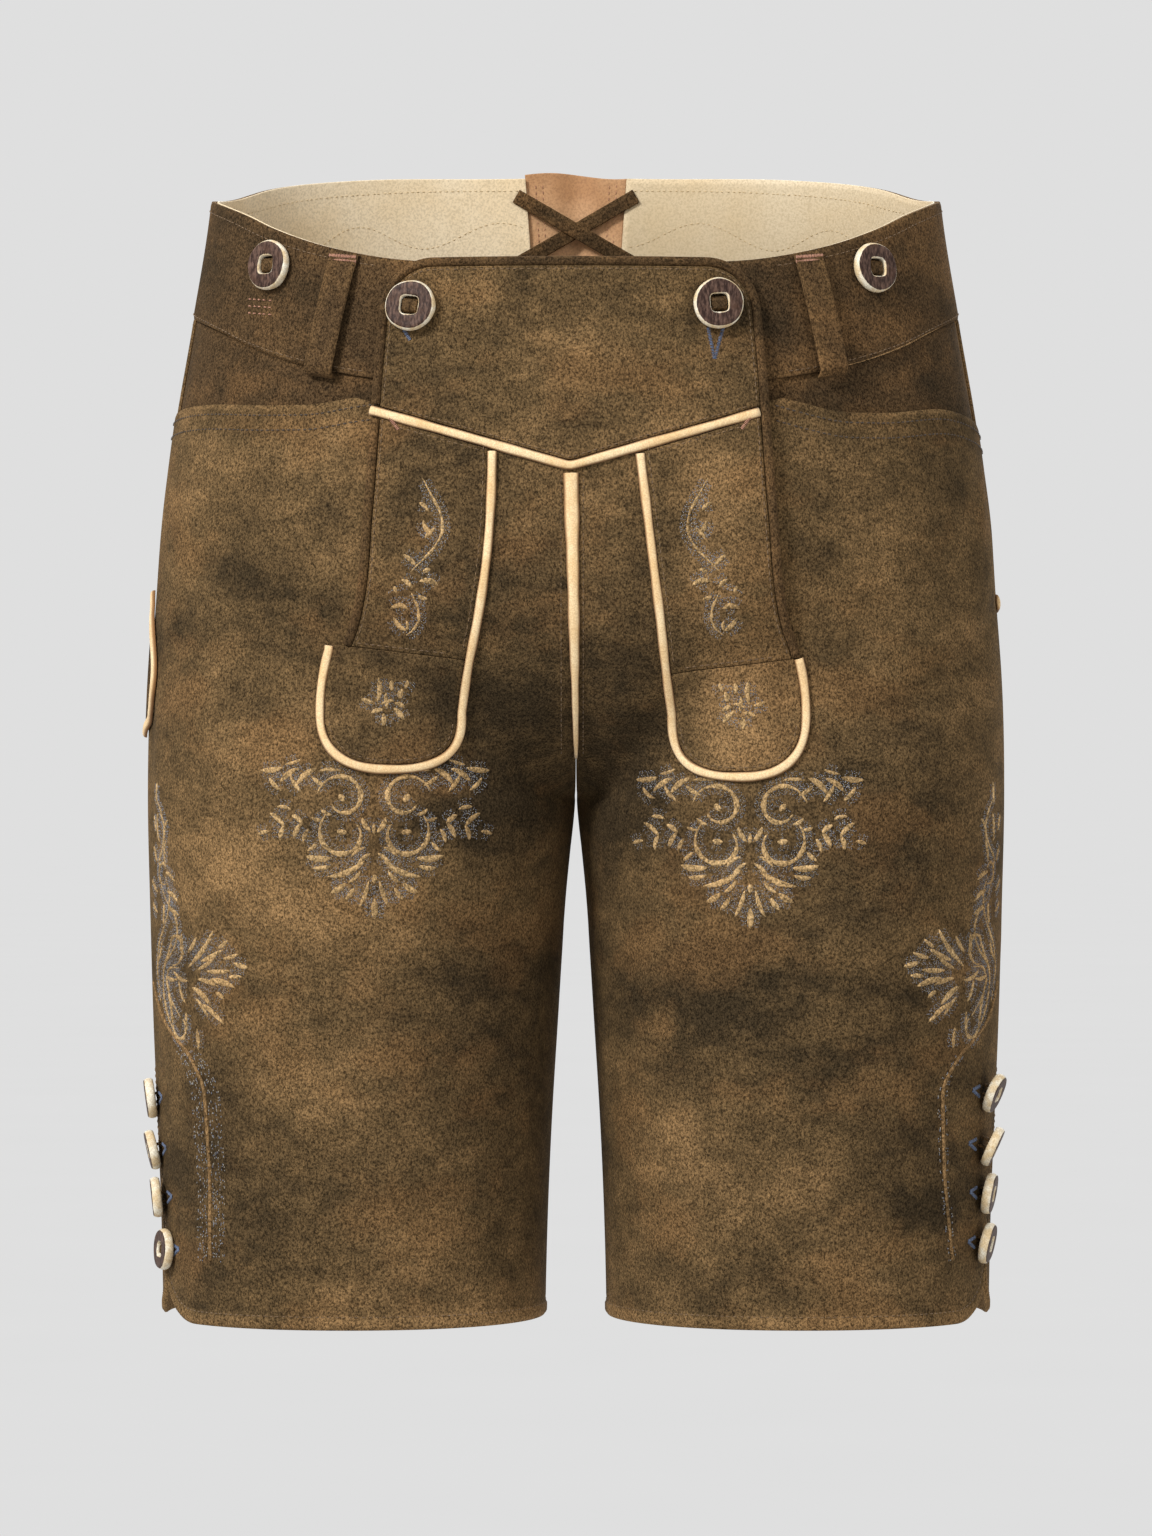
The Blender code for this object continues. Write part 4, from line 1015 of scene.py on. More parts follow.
# A small stroke needs fewer of the bead's points
EMBROIDERY_BEAD = bead(1, 1)[[0, 1, 3, 4, 5, 7, 8, 9, 12, 13, 14, 17]]


def strap(width, height):
    """A strap's profile: a rectangle with rounded edges and a slightly hollow face."""
    turn = np.linspace(0, np.pi / 2, 4)
    corner = np.stack([np.cos(turn), np.sin(turn)], axis=-1) * height / 2
    right = corner + (width / 2 - height / 2, height / 2)
    left = (right * (-1, 1))[::-1]
    top = np.concatenate([left, [[0, height * 0.94]], right[::-1]])
    top = top[np.argsort(top[:, 0], kind="stable")]
    under = top[::-1] * (1, -1) + (0, height)
    return np.concatenate([top, under])


def fine(path, count):
    """A path's points, resampled evenly along its length."""
    path = np.asarray(path, float)
    reach = reach_along(path)
    return resampled(path, reach, np.linspace(0, reach[-1], count))


# Patches of tone, partly worn places and partly painted shade (the dark patches by the middle seams),
# seen from the front (front 1) or the back (front -1)
WEAR_AND_PAINTED_SHADE_COLUMNS = ("front", "x", "z", "wide", "tall", "tone")
WEAR_AND_PAINTED_SHADE_PATCHES = (
    (1, -0.165, -0.295, 0.045, 0.022, 0.38),
    (1, -0.090, -0.315, 0.090, 0.022, 0.45),
    (1, -0.150, -0.110, 0.040, 0.040, 0.30),
    (1, -0.040, -0.230, 0.035, 0.060, -0.55),
    (1, -0.080, -0.225, 0.040, 0.020, -0.45),
    (1, -0.050, -0.400, 0.040, 0.060, -0.25),
    (1, -0.110, -0.400, 0.050, 0.050, 0.20),
    (1, -0.180, -0.440, 0.030, 0.050, -0.30),
    (1, -0.100, -0.500, 0.080, 0.012, 0.30),
    (1, 0.030, -0.230, 0.030, 0.070, -0.50),
    (1, 0.090, -0.440, 0.050, 0.035, 0.30),
    (1, 0.085, -0.360, 0.070, 0.030, -0.40),
    (1, 0.140, -0.150, 0.040, 0.060, 0.20),
    (1, 0.060, -0.340, 0.040, 0.040, -0.25),
    (1, 0.120, -0.270, 0.060, 0.040, -0.35),
    (1, 0.160, -0.420, 0.030, 0.060, -0.30),
    (1, 0.078, -0.228, 0.032, 0.030, 0.95),
    (1, 0.066, -0.140, 0.024, 0.055, 0.85),
    (1, -0.090, -0.217, 0.030, 0.024, 0.65),
    (1, 0.000, -0.045, 0.060, 0.030, 0.20),
    (1, -0.080, -0.070, 0.030, 0.030, -0.20),
    (1, 0.180, 0.000, 0.030, 0.030, 0.10),
    (1, -0.180, 0.010, 0.030, 0.030, -0.20),
    (-1, 0.000, -0.180, 0.030, 0.080, -0.35),
    (-1, 0.090, -0.150, 0.060, 0.050, 0.40),
    (-1, -0.085, -0.165, 0.060, 0.050, 0.35),
    (-1, 0.100, -0.330, 0.060, 0.040, -0.20),
    (-1, -0.110, -0.420, 0.050, 0.050, 0.30),
    (-1, 0.080, -0.470, 0.060, 0.030, 0.20),
)

# Leg panels, waistband and what lies behind them

# Height of the turned hem, the slit corner's half sizes, the grid's step, how far a panel tucks in
# under the band, and the lining's painted shade in front by side
HEM_FOLD = 0.0062
SLIT_CORNER = (0.036, 0.026)
SHEET_STEP = 0.0038
TUCK = 0.0005
LINING_PAINTED_SHADE = {"left": -0.66, "right": -0.34}


def hem_line(columns):
    """The hem's height, which rises as a quarter of an ellipse at the corner by the side slit."""
    inside = np.clip(1 - (1 - columns) * GIRTH / 2 / SLIT_CORNER[0], 0, 1)
    return HEM_Z + SLIT_CORNER[1] * (1 - np.sqrt(1 - inside**2)) * 0.95


def front_top(side, s):
    """A front panel reaches up to the pocket mouth, and in the middle to the pointed seam."""
    mouth = mouth_line(side, s)
    x = side * bare_skin(1, s, mouth)[..., 0] - FLAP_X
    return np.minimum(point_line(x) + 0.0040, mouth)


def turned_hem(z, bottom):
    """The turned hem's extra height: a low roll that ends in a groove at the stitching."""
    up = z - bottom
    roll = 0.0007 * smoothstep(up, 0, 0.0015) * (1 - smoothstep(up, HEM_FOLD - 0.0012, HEM_FOLD))
    return roll - 0.0004 * np.exp(-(((up - HEM_FOLD) / 0.0008) ** 2))


def leg_heights(bottom, top):
    """Row heights of a leg panel, close together at the hem and the top edge."""
    return bottom + (top - bottom) * spaced(0.44, SHEET_STEP)[:, None]


def leg_panel(name, surface, z, bottom, out):
    """A leg panel on that surface, moved out, with its paler turned hem."""
    hem = turned_hem(z, bottom)
    hem_tone = 0.45 * (1 - smoothstep(z - bottom, HEM_FOLD - 0.001, HEM_FOLD))
    return shell(name, surface, out + hem, LEATHER + hem, "outer_suede", tone=hem_tone)


def front_panel(side, name):
    """From the front middle to the side seam, and from the hem to the pocket mouth."""
    columns = spaced(GIRTH / 2, SHEET_STEP)
    bottom = hem_line(columns)
    z = leg_heights(bottom, front_top(side, HALF_SEAM_S + columns * (0.5 - 2 * HALF_SEAM_S)))
    s = HALF_SEAM_S + columns * (side_seam(z) - 2 * HALF_SEAM_S)
    return leg_panel(name, skin(side, s, z), z, bottom, mouth_lift(side, s, z))


def back_panel(side, name):
    """From the side seam to the back middle or the gusset, and from the hem to the band."""
    columns = spaced(GIRTH / 2, SHEET_STEP)
    bottom = hem_line(1 - columns)
    z = leg_heights(bottom, band_bottom(0.5 + columns / 2) + TUCK)
    start = side_seam(z) + HALF_SEAM_S
    s = start + columns * (back_end(z) - start)
    return leg_panel(name, skin(side, s, z), z, bottom, 0)


def waist_grid(low, high):
    """The band's grid, from the front middle round to the gusset, less low below and high above."""
    share = spaced(0.30, 0.0032)
    up = spaced(BAND_HEIGHT, 0.0030)[:, None]
    plain = HALF_SEAM_S + share * (1 - HALF_SEAM_S)
    z = band_bottom(plain) + low + (BAND_HEIGHT - low - high) * up
    ends = back_end(z[:, -1:])
    return HALF_SEAM_S + share * (ends - HALF_SEAM_S), z


def waistband(side, name):
    """The band's outer half, from the front middle to the gusset."""
    s, z = waist_grid(0.0, 0.0)
    return shell(name, skin(side, s, z), 0, BAND_LEATHER, "dark_suede")


def waist_lining(side, name):
    """The pale leather inside the band."""
    s, z = waist_grid(0.0006, -0.0002)
    # Painted shade on the lining: its tone falls towards the band's bottom, and further on the wearer's
    # left
    shade = LINING_PAINTED_SHADE[own_side(side)] + 0.30 * np.linspace(0, 1, len(z))[:, None] + 0 * z
    lift = -BAND_LEATHER - SEAM
    return shell(name, skin(side, s, z), lift, LINING, "lining_leather", bulge=0.0002, tone=shade)


def hip_facing(side, name):
    """The facing behind the pocket mouth, which runs on under the flap to the front middle."""
    s = HALF_SEAM_S + spaced(0.30, 0.0040) * (0.5 - 2 * HALF_SEAM_S)
    top = band_bottom(s) + TUCK
    z = FACING_END_Z + (top - FACING_END_Z) * spaced(0.075, 0.0035)[:, None]
    lift = -LEATHER - 2 * SEAM
    return shell(name, skin(side, s + 0 * z, z), lift, LEATHER, "dark_suede", tone=-0.1)


def slit_underlap(side, name):
    """The strip behind the buttoned side slit."""
    z = UNDERLAP_Z[0] + (UNDERLAP_Z[1] - UNDERLAP_Z[0]) * spaced(0.103, 0.004)[:, None]
    s = side_seam(z) + UNDERLAP_S * (2 * spaced(0.035, 0.002) - 1)
    return shell(name, skin(side, s, z), -LEATHER - UNDERLAP_DROP, LEATHER, "dark_suede")


def back_gusset():
    """The wedge in the laced gap: share x the half gap across, and up from its tip to its top.

    A fold of height x exp(-(share / fold share)^2) stands out along its middle, and its sides
    pucker by 0.3 mm x a sine of the height.
    """
    share = 2 * spaced(0.045, 0.0015) - 1
    top = GUSSET_TOP_Z + GUSSET_TOP_WAVE * np.cos(2.4 * share + 1.2)
    bottom = GUSSET_TIP_Z + 0.006
    z = bottom + (top - bottom) * spaced(0.12, 0.0025)[:, None]
    x = share * (half_gap(z) - SEAM / 2)
    fold = GUSSET_FOLD * np.exp(-((share / GUSSET_FOLD_SHARE) ** 2))
    pucker = 0.0003 * np.sin(z / 0.0041 + 5 * share) * smoothstep(np.abs(share), 0.5, 0.9)
    lift = fold * np.clip((z - GUSSET_TIP_Z) / 0.06, 0, 1) - 2 * SEAM + pucker
    surface = skin_by_x(x, z, back=True)
    return shell("gusset_sheet", surface, lift, GUSSET_LEATHER, "gusset_leather", bulge=0.0)


# Flap


def front_flap():
    """The bib: from the pointed seam to the edging, with round top corners."""
    share = 2 * spaced(0.18, FLAP_STEP) - 1
    low_x = share * (flap_half_width(BIB_LOW_Z) - EDGING[0] - SEAM)
    top = FLAP_TOP_Z - EDGING[0] - SEAM
    corner = FLAP_CORNER - EDGING[0] - SEAM
    shoulder = top - corner
    low = point_line(low_x) + POINT_WELT[0] / 2 + 3 * SEAM
    straight = low + (shoulder - low) * spaced(0.08, FLAP_STEP)[:-6, None]
    bend = shoulder + corner * np.sin(np.pi / 2 * steps(0.02, 1, 14)) + 0 * low
    z = np.concatenate([straight, bend])
    above = np.clip((z - shoulder) / corner, 0, 1)
    half = flap_half_width(z) - EDGING[0] - SEAM - corner * (1 - np.sqrt(1 - above**2))
    x = FLAP_X + share * half
    return shell("bib", skin_by_x(x, z), flap_lift(x, z) + LEATHER + SEAM, LEATHER, "outer_suede")


def on_flap_skin(x, z, out):
    """Points and normals out from the flap's inner face, x from the flap's middle."""
    x = FLAP_X + x
    points, normals = skin_by_x(x, z)
    return points + normals * (flap_lift(x, z) + out)[..., None], normals


def edging_end(side):
    """Height of the edging's lower end, just above the foot."""
    return strip_end(side, flap_half_width(-0.188)) + 0.0006


def flap_edging():
    """The rolled edge round the bib: half width - half edging beside it, a quarter circle at a corner.

    On the wearer's right the pointed seam's welt cuts it in two.
    """
    middle = EDGING[0] / 2
    width = flap_half_width(POINT_END_Z)
    above = point_line(width) + POINT_WELT[0] / 2 + 2 * SEAM
    below = point_line(width - EDGING[0]) - POINT_WELT[0] / 2 - 2 * SEAM
    turn = np.linspace(0, np.pi / 2, 17)[1:]
    radius = FLAP_CORNER - middle
    turn_z = FLAP_TOP_Z - FLAP_CORNER + radius * np.sin(turn)
    turn_x = flap_half_width(turn_z) - FLAP_CORNER + radius * np.cos(turn)
    right = np.linspace(above, FLAP_TOP_Z - FLAP_CORNER, 28)
    left = np.linspace(FLAP_TOP_Z - FLAP_CORNER, edging_end(1), 70)
    across = np.linspace(-turn_x[-1], turn_x[-1], 60)[1:-1]
    x = [-(flap_half_width(right) - middle), -turn_x, across, turn_x[::-1]]
    x = np.concatenate([*x, flap_half_width(left) - middle])
    z = np.concatenate([right, turn_z, np.full(len(across), turn_z[-1]), turn_z[::-1], left])
    whole = sweep("bib_edging", *on_flap_skin(x, z, SEAM), bead(*EDGING), "dark_suede")
    z = np.linspace(edging_end(-1), below, 46)
    path = on_flap_skin(-(flap_half_width(z) - middle), z, SEAM)
    short = sweep("strip_edging", *path, bead(*EDGING), "dark_suede")
    return whole, short


def ornament_strip(side, name):
    """The strip below the bib, between its welt and the edging."""
    share = spaced(0.052, FLAP_STEP)

    def across(z):
        """Distances from the flap's middle, from the welt to the edging."""
        inner = strip_inner(side, z) + WELT[0] / 2 + SEAM
        return inner + share * (flap_half_width(z) - EDGING[0] - 2 * SEAM - inner)

    low = strip_end(side, across(np.full(share.size, foot(side, "seam_z")))) + SEAM
    high = point_line(across(np.full(share.size, -0.085))) - POINT_WELT[0] / 2 - SEAM - 0.0004
    z = low + (high - low) * spaced(0.11, FLAP_STEP)[:, None]
    x = FLAP_X + side * across(z)
    lift = flap_lift(x, z) + LEATHER + SEAM
    return shell(name, skin_by_x(x, z), lift, LEATHER, "outer_suede", tone=-0.18)


def strip_foot(side, name):
    """The round-ended piece at a strip's lower end, sewn over the end of the flap's slit."""
    inset = WELT[0] / 2 + SEAM
    share = spaced(0.060, 0.0022)
    shoulder = foot(side, "shoulder_z")
    depth = (foot(side, "depth") - inset) * 0.985
    low = shoulder - depth * np.sin(np.pi / 2 * steps(1, 0, 24))
    inner, outer = foot_edges(side, np.full(1, foot(side, "top_z")), inset)
    top = np.minimum(strip_end(side, inner + share * (outer - inner)), foot(side, "top_z")) - SEAM
    z = np.concatenate([low + 0 * share, shoulder + (top - shoulder) * steps(1 / 12, 1, 12)])
    inner, outer = foot_edges(side, z, inset)
    x = FLAP_X + side * (inner + share * (outer - inner))
    return shell(name, skin_by_x(x, z), LEATHER + 2 * SEAM, LEATHER, "outer_suede", tone=-0.15)


# Welts, loops and laces


def strip_welt(side, name):
    """The light welt down a strip's inner edge, round its foot and up to the foot's outer corner."""
    shoulder, half = foot(side, "shoulder_z"), foot(side, "half_width")
    start = point_line(strip_inner(side, -0.09)) - POINT_WELT[0] / 2 - SEAM - 0.0008
    down = np.linspace(start, shoulder, 50)
    sine, cosine = rounded(np.linspace(0, np.pi, 61)[1:-1], FOOT_POWER)
    up = np.linspace(shoulder, foot(side, "top_z"), 14)
    z = np.concatenate([down, shoulder - foot(side, "depth") * sine, up])
    outer = foot_edges(side, up, 0)[1]
    x = np.concatenate([strip_inner(side, down), foot(side, "middle") - half * cosine, outer])
    return sweep(name, *on_flap_skin(side * x, z, 2 * SEAM), bead(*WELT), "piping_leather")


def point_welt():
    """The light welt in the pointed seam below the bib."""
    width = flap_half_width(POINT_END_Z)
    x = np.linspace(-width, width - EDGING[0] - 2 * SEAM, 90)
    z = point_line(np.hypot(x, 0.0018))
    return sweep("point_piping", *on_flap_skin(x, z, SEAM), bead(*POINT_WELT), "piping_leather")


def centre_welt():
    """The light welt down the front middle seam. Its width falls by 0.72 t^1.6 towards the legs."""
    count = 60
    z = np.linspace(POINT_Z - POINT_WELT[0] / 2 - 3 * SEAM, CENTRE_WELT_END_Z, count)
    share = np.linspace(0, 1, count)
    half = CENTRE_WELT[0] / 2 * (1 - CENTRE_WELT_TAPER * share**1.6)
    x = FLAP_X * (1 - share) ** 1.2 * 0.8
    low, low_normal = skin_by_x(np.full(count, 0.0004), z)
    beside = skin_by_x(half + np.abs(x), z)[0]
    normals = unit(low_normal * (0, 1, 1))
    sunk = np.maximum(((beside - low) * normals).sum(-1), 0)
    points = low + normals * (sunk + SEAM)[:, None]
    points[:, 0] = x
    shape = bead(1, 1) * np.stack([2 * half, np.full(count, CENTRE_WELT[1])], axis=-1)[:, None]
    return sweep("centre_piping", points, normals, shape, "piping_leather")


# The belt loops' distances from the middle, at the top and below
BELT_LOOPS = (("front", 0.1090, 0.1200), ("back", 0.0600, 0.0640))


def belt_loop(name, x_top, x_bottom, back=False):
    """A strap sewn down at the band's top edge. It stands off the band, and its end turns in below.

    The turned end is a quarter circle of the fold's radius. The strap's outer side faces along
    (its direction x its width's direction).
    """
    share = np.linspace(0, 1, 34)
    bend = np.linspace(0, np.pi / 2, 9)[1:]
    top = band_top(girth_at(np.abs(x_top), 0.0, back)) + 0.0004
    low = top - (BAND_HEIGHT + LOOP_OVERHANG) + LOOP_FOLD
    z = np.concatenate([top + (low - top) * share, low - LOOP_FOLD * np.sin(bend)])
    x = x_top + (x_bottom - x_top) * (top - z) / (top - low)
    stand = np.interp(share * 0.92, *named(LOOP_STAND, LOOP_STAND_COLUMNS, "height"))
    stand = np.concatenate([stand, stand[-1] - (stand[-1] - 0.0004) * (1 - np.cos(bend))])
    points, normals = skin_by_x(x, z, back)
    path = points + normals * stand[:, None]
    across = unit(np.cross(normals, points[-1] - points[0]))
    out = unit(np.cross(np.gradient(path, axis=0), across))
    return sweep(name, path, out, strap(*LOOP), "dark_suede", tone=0.1)


def lace_bar(name, ends, lift, bow):
    """A flat lace between two places on the back, (x, z) each, bowed off by bow x sin(pi t)^2."""
    share = np.linspace(0, 1, 30)
    (x0, z0), (x1, z1) = ends
    points, normals = skin_by_x(x0 + (x1 - x0) * share, z0 + (z1 - z0) * share, back=True)
    out = lift + bow * np.sin(np.pi * share) ** 2
    path = points + normals * out[:, None]
    return sweep(name, path, normals, strap(*LACE), "dark_suede", tone=-0.3)


def back_lacing():
    """Inside, two laces cross over the gusset. Outside, a bar joins each pair of eyelets."""
    upper, lower = UPPER_EYELET, LOWER_EYELET
    inner_face = -BAND_LEATHER - LINING - 2 * SEAM - LACE[1]
    crossing = [((-upper[0], upper[1]), lower), ((-lower[0], lower[1]), upper)]
    laces = [
        (lace_bar("lace_over", crossing[0], inner_face, -LACE_BOWS["over"]), "lace_inside_over"),
        (lace_bar("lace_under", crossing[1], inner_face, -LACE_BOWS["under"]), "lace_inside_under"),
    ]
    for name, (x, z) in (("top", upper), ("low", lower)):
        bar = lace_bar(f"lace_bar_{name}", ((-x, z), (x, z)), 2 * SEAM, LACE_BOWS["outside"])
        laces.append((bar, f"lace_outside_{name}"))
    return [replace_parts(lace, node) or lace for lace, node in laces]


def knife_pocket():
    """The dark leather that shows in the knife pocket's mouth, and the welt along its edge."""
    z, forward = named(KNIFE_POCKET, KNIFE_POCKET_COLUMNS, "forward")
    z, forward = z[::-1], forward[::-1]
    up = np.linspace(z[0] + 0.0035, z[-1] - 0.0035, 36)
    slant = np.hypot(1, np.gradient(smooth(up, z, forward), up))
    reach = smooth(up, z, forward) - (POCKET_WELT[0] / 2 + 0.0013) * slant
    s = 0.5 - np.linspace(1, 0, 24) * np.maximum(reach, 0.0010)[:, None] / GIRTH
    points = skin(-1, s, up[:, None] + 0 * s)
    lift = KNIFE_POCKET_LEATHER + 2 * SEAM
    sheet = shell("knife_pocket_sheet", points, lift, KNIFE_POCKET_LEATHER, "dark_suede", tone=-0.4)
    turn = np.linspace(0, np.pi, 70)
    line = (z[0] + z[-1]) / 2 - (z[-1] - z[0]) / 2 * np.cos(turn)
    points, normals = skin(-1, 0.5 - smooth(line, z, forward) / GIRTH, line)
    path = points + normals * 2 * SEAM
    return sheet, sweep("knife_pocket_piping", path, normals, bead(*POCKET_WELT), "piping_leather")


def back_pocket_welt():
    """The light welt of the pocket behind the wearer's left side."""
    s = np.linspace(0.468, 0.640, 50)
    points, normals = skin(1, s, BACK_POCKET_Z - 0.0037 * (s - s[0]) / (s[-1] - s[0]))
    path = points + normals * SEAM
    return sweep("back_pocket_piping", path, normals, bead(*BACK_POCKET_WELT), "piping_leather")


# Buttons


def seat(point, normal, turn):
    """Three axes and a place: Z along the normal, Y near upright, turned about the normal."""
    across = unit(np.cross((0, 0, 1), normal))
    upright = np.cross(normal, across)
    lean = math.radians(turn)
    first = across * math.cos(lean) + upright * math.sin(lean)
    return np.stack([first, np.cross(normal, first), normal]), point


def turned(axes, pitch, yaw):
    """The axes turned about their own Y by yaw, then about their own X by pitch, in degrees."""
    p, y = math.radians(pitch), math.radians(yaw)
    about_y = np.array([[math.cos(y), 0, -math.sin(y)], [0, 1, 0], [math.sin(y), 0, math.cos(y)]])
    about_x = np.array([[1, 0, 0], [0, math.cos(p), math.sin(p)], [0, -math.sin(p), math.cos(p)]])
    return about_x @ about_y @ axes


# A button's profile: share of the way out from hole to edge, height share, and how pale it is
RING_COLUMNS = ("out", "up", "pale")
RING = (
    (0.00, 0.08, 0.5),
    (0.00, 0.50, 0.6),
    (0.00, 0.86, 0.9),
    (0.05, 0.97, 0.5),
    (0.14, 1.00, 0.1),
    (0.35, 0.97, 0.0),
    (0.60, 0.97, 0.0),
    (0.78, 0.99, 0.0),
    (0.86, 0.96, 0.3),
    (0.93, 0.84, 0.9),
    (0.99, 0.62, 1.0),
    (1.00, 0.42, 1.0),
    (0.96, 0.18, 1.0),
    (0.86, 0.03, 1.0),
    (0.60, 0.00, 1.0),
    (0.25, 0.00, 0.8),
    (0.06, 0.02, 0.6),
)


def button(name, axes, point, size, node, seed):
    """A horn ring round a squarish hole: a closed profile turned round, in two parameters.

    The hole's radius is half / (|cos|^4 + |sin|^4)^(1/4). The outer one waves by 1.5 and 0.8
    percent.
    """
    radius, half, thick = size
    turn = np.linspace(0, 2 * np.pi, 57)[:-1, None]
    hole = half / (np.abs(np.cos(turn)) ** 4 + np.abs(np.sin(turn)) ** 4) ** 0.25
    wave = 0.015 * np.sin(2 * turn + seed) + 0.008 * np.sin(5 * turn + 2 * seed)
    outer = radius * (1 + wave) - 0.0001
    ring = dict(zip(RING_COLUMNS, np.array(RING).T))
    reach = hole + (outer - hole) * ring["out"]
    up = ring["up"] * thick + 0 * reach
    local = np.stack([reach * np.cos(turn), reach * np.sin(turn), up], axis=-1)
    points = point + local @ axes
    index = np.arange(points[..., 0].size).reshape(points.shape[:2])
    index = np.concatenate([index, index[:1]])
    index = np.concatenate([index, index[:, :1]], axis=1)
    rim = ring["pale"] + 0.10 * np.sin(3 * turn + seed)
    piece = add_piece(name, points.reshape(-1, 3), grid_faces(index), "horn", rim=rim)
    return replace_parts(piece, node)


def thong(name, axes, point, size, below, node=None):
    """The leather tab in a button's hole: a strap that arches up through it, along its own Y.

    Its height is -below + (thick - 1 mm + below) x sqrt(1 - share^4).
    """
    _, half, thick = size
    share = np.linspace(-1, 1, 21)
    y = (half - 0.0008) * np.sign(share) * np.abs(share) ** 0.7
    height = -below + (thick - 0.0010 + below) * np.sqrt(np.maximum(1 - share**4, 0))
    local = np.stack([0 * y, y, height], axis=-1)
    normals = unit(np.stack([0 * y, share**3, 0.35 + 0 * y], axis=-1))
    profile = strap(1.72 * half, 0.0012) - (0, 0.0012)
    piece = sweep(name, point + local @ axes, normals @ axes, profile, "dark_suede", tone=0.1)
    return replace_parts(piece, node) if node else piece


def buttons():
    """Two on the flap, two for braces at each of front and back, four down each side slit."""
    for number, row in enumerate(rows(BIG_BUTTONS, BIG_BUTTON_COLUMNS)):
        x, z = row["x"], row["z"]
        points, normals = skin_by_x(x, z, row["place"] == "back")
        lift, shank = 2 * SEAM, 0.0
        if row["place"] == "flap":
            shank = FLAP_BUTTON_SHANK
            lift += LEATHER + shank + float(flap_lift(x, z))
        axes, point = seat(points + normals * lift, normals, row["turn"])
        name = row["name"]
        button(name.format("ring"), axes, point, BIG_BUTTON, name.format("button"), number)
        thong(name.format("tab"), axes, point, BIG_BUTTON, shank, name.format("thong"))
    for number, row in enumerate(rows(LEG_BUTTONS, LEG_BUTTON_COLUMNS)):
        side = row["side"]
        points, normals = skin(side, row["s"], row["z"])
        axes = turned(seat(points, normals, 0)[0], row["pitch"], -side * row["yaw"])
        tilt = (axes[2] * normals).sum()
        off = (LEG_BUTTON[0] - BUTTON_EDGE) * math.sqrt(1 - tilt**2) + SEAM
        point = points + normals * off
        label = f"{own_side(side)}_{number % 4 + 1}"
        button(f"leg_ring_{label}", axes, point, LEG_BUTTON, f"leg_button_{label}", number + 9)
        thong(f"leg_tab_{label}", axes, point, LEG_BUTTON, off)


# Sewing. Each seam line is a path on the leather with its normals, and its thread lies along it.
# Stitches have a pitch, a length and a thickness

STITCH = (0.0032, 0.0021, 0.00055)
DOT = (0.0017, 0.0006, 0.00044)
BAND_DOT = (0.0030, 0.0008, 0.00045)
SATIN = (0.0007, 0.0018, 0.00070)
FINE_STITCH = (0.0030, 0.0018, 0.00045)
MOUTH_STITCH = (0.0030, 0.0019, 0.00090)
STITCH_SHARES = np.array([-0.5, 0.0, 0.5])


def along_line(line, pitch, spread, seed):
    """Places along a line at the pitch, shaken by spread: points, normals and directions."""
    points, normals = line
    reach = reach_along(points)
    count = max(int(reach[-1] / pitch), 1)
    shake = np.random.default_rng(seed).uniform(-spread, spread, count) * pitch
    at = (np.arange(count) + 0.5) * reach[-1] / count + shake
    directions = np.gradient(points, axis=0)
    places, ups, ways = (resampled(values, reach, at) for values in (points, normals, directions))
    return places, unit(ups), unit(ways)


def sew(name, lines, thread_name, size=STITCH, cross=False, around=4, spread=0.12):
    """Stitches: at each place a short thread, bent down at both ends, or laid across the line.

    A stitch's rings lie at length x (-1/2, 0, 1/2). They are 0.45, 1 and 0.45 of the thickness
    wide, and raised by -0.1, 0.3 and -0.1 of it.
    """
    pitch, length, thick = size
    places = [along_line(line, pitch, spread, seed) for seed, line in enumerate(lines)]
    point, normal, along = (np.concatenate(parts)[:, None, None] for parts in zip(*places))
    side = np.cross(normal, along)
    if cross:
        along, side = side, along
    turn = 2 * np.pi * (np.arange(around) + 0.5) / around
    width = thick / 2 * np.array([0.45, 1.0, 0.45])[:, None]
    rise = thick * np.array([-0.10, 0.30, -0.10])[:, None]
    x = (length * STITCH_SHARES)[:, None, None]
    y = (width * np.cos(turn))[..., None]
    z = (rise + width * np.sin(turn))[..., None]
    return repeated(name, point + along * x + side * y + normal * z, thread_name)


def laid(path, place):
    """A path in a place's own two coordinates, evenly resampled and put on the leather."""
    path = np.asarray(path, float)
    return place(*fine(path, max(int(reach_along(path)[-1] / 0.002), 4)).T)


def on_leg(side, lift=0.0):
    """Places on a leg panel, as (girth share, height)."""

    def place(s, z):
        """That place's point and normal."""
        points, normals = skin(side, s, z)
        return points + normals * lift, normals

    return place


def on_flap(x, z):
    """Places on the flap's outer face, as (x from the flap's middle, height)."""
    return on_flap_skin(x, z, LEATHER + SEAM)


def on_foot(x, z):
    """Places on a foot's outer face, as (x from the flap's middle, height)."""
    points, normals = skin_by_x(FLAP_X + x, z)
    return points + normals * (LEATHER + 2 * SEAM), normals


def flap_rim(inset, low):
    """A path just inside the bib's edging: up one side, round both corners and down the other."""
    turn = np.linspace(0, np.pi / 2, 12)
    radius = FLAP_CORNER - inset
    corner_z = FLAP_TOP_Z - FLAP_CORNER + radius * np.sin(turn)
    corner_x = flap_half_width(corner_z) - FLAP_CORNER + radius * np.cos(turn)
    z = np.linspace(low, FLAP_TOP_Z - FLAP_CORNER, 40)
    x = np.concatenate([flap_half_width(z) - inset, corner_x[1:]])
    z = np.concatenate([z, corner_z[1:]])
    return np.stack([np.concatenate([-x, x[::-1]]), np.concatenate([z, z[::-1]])], axis=-1)


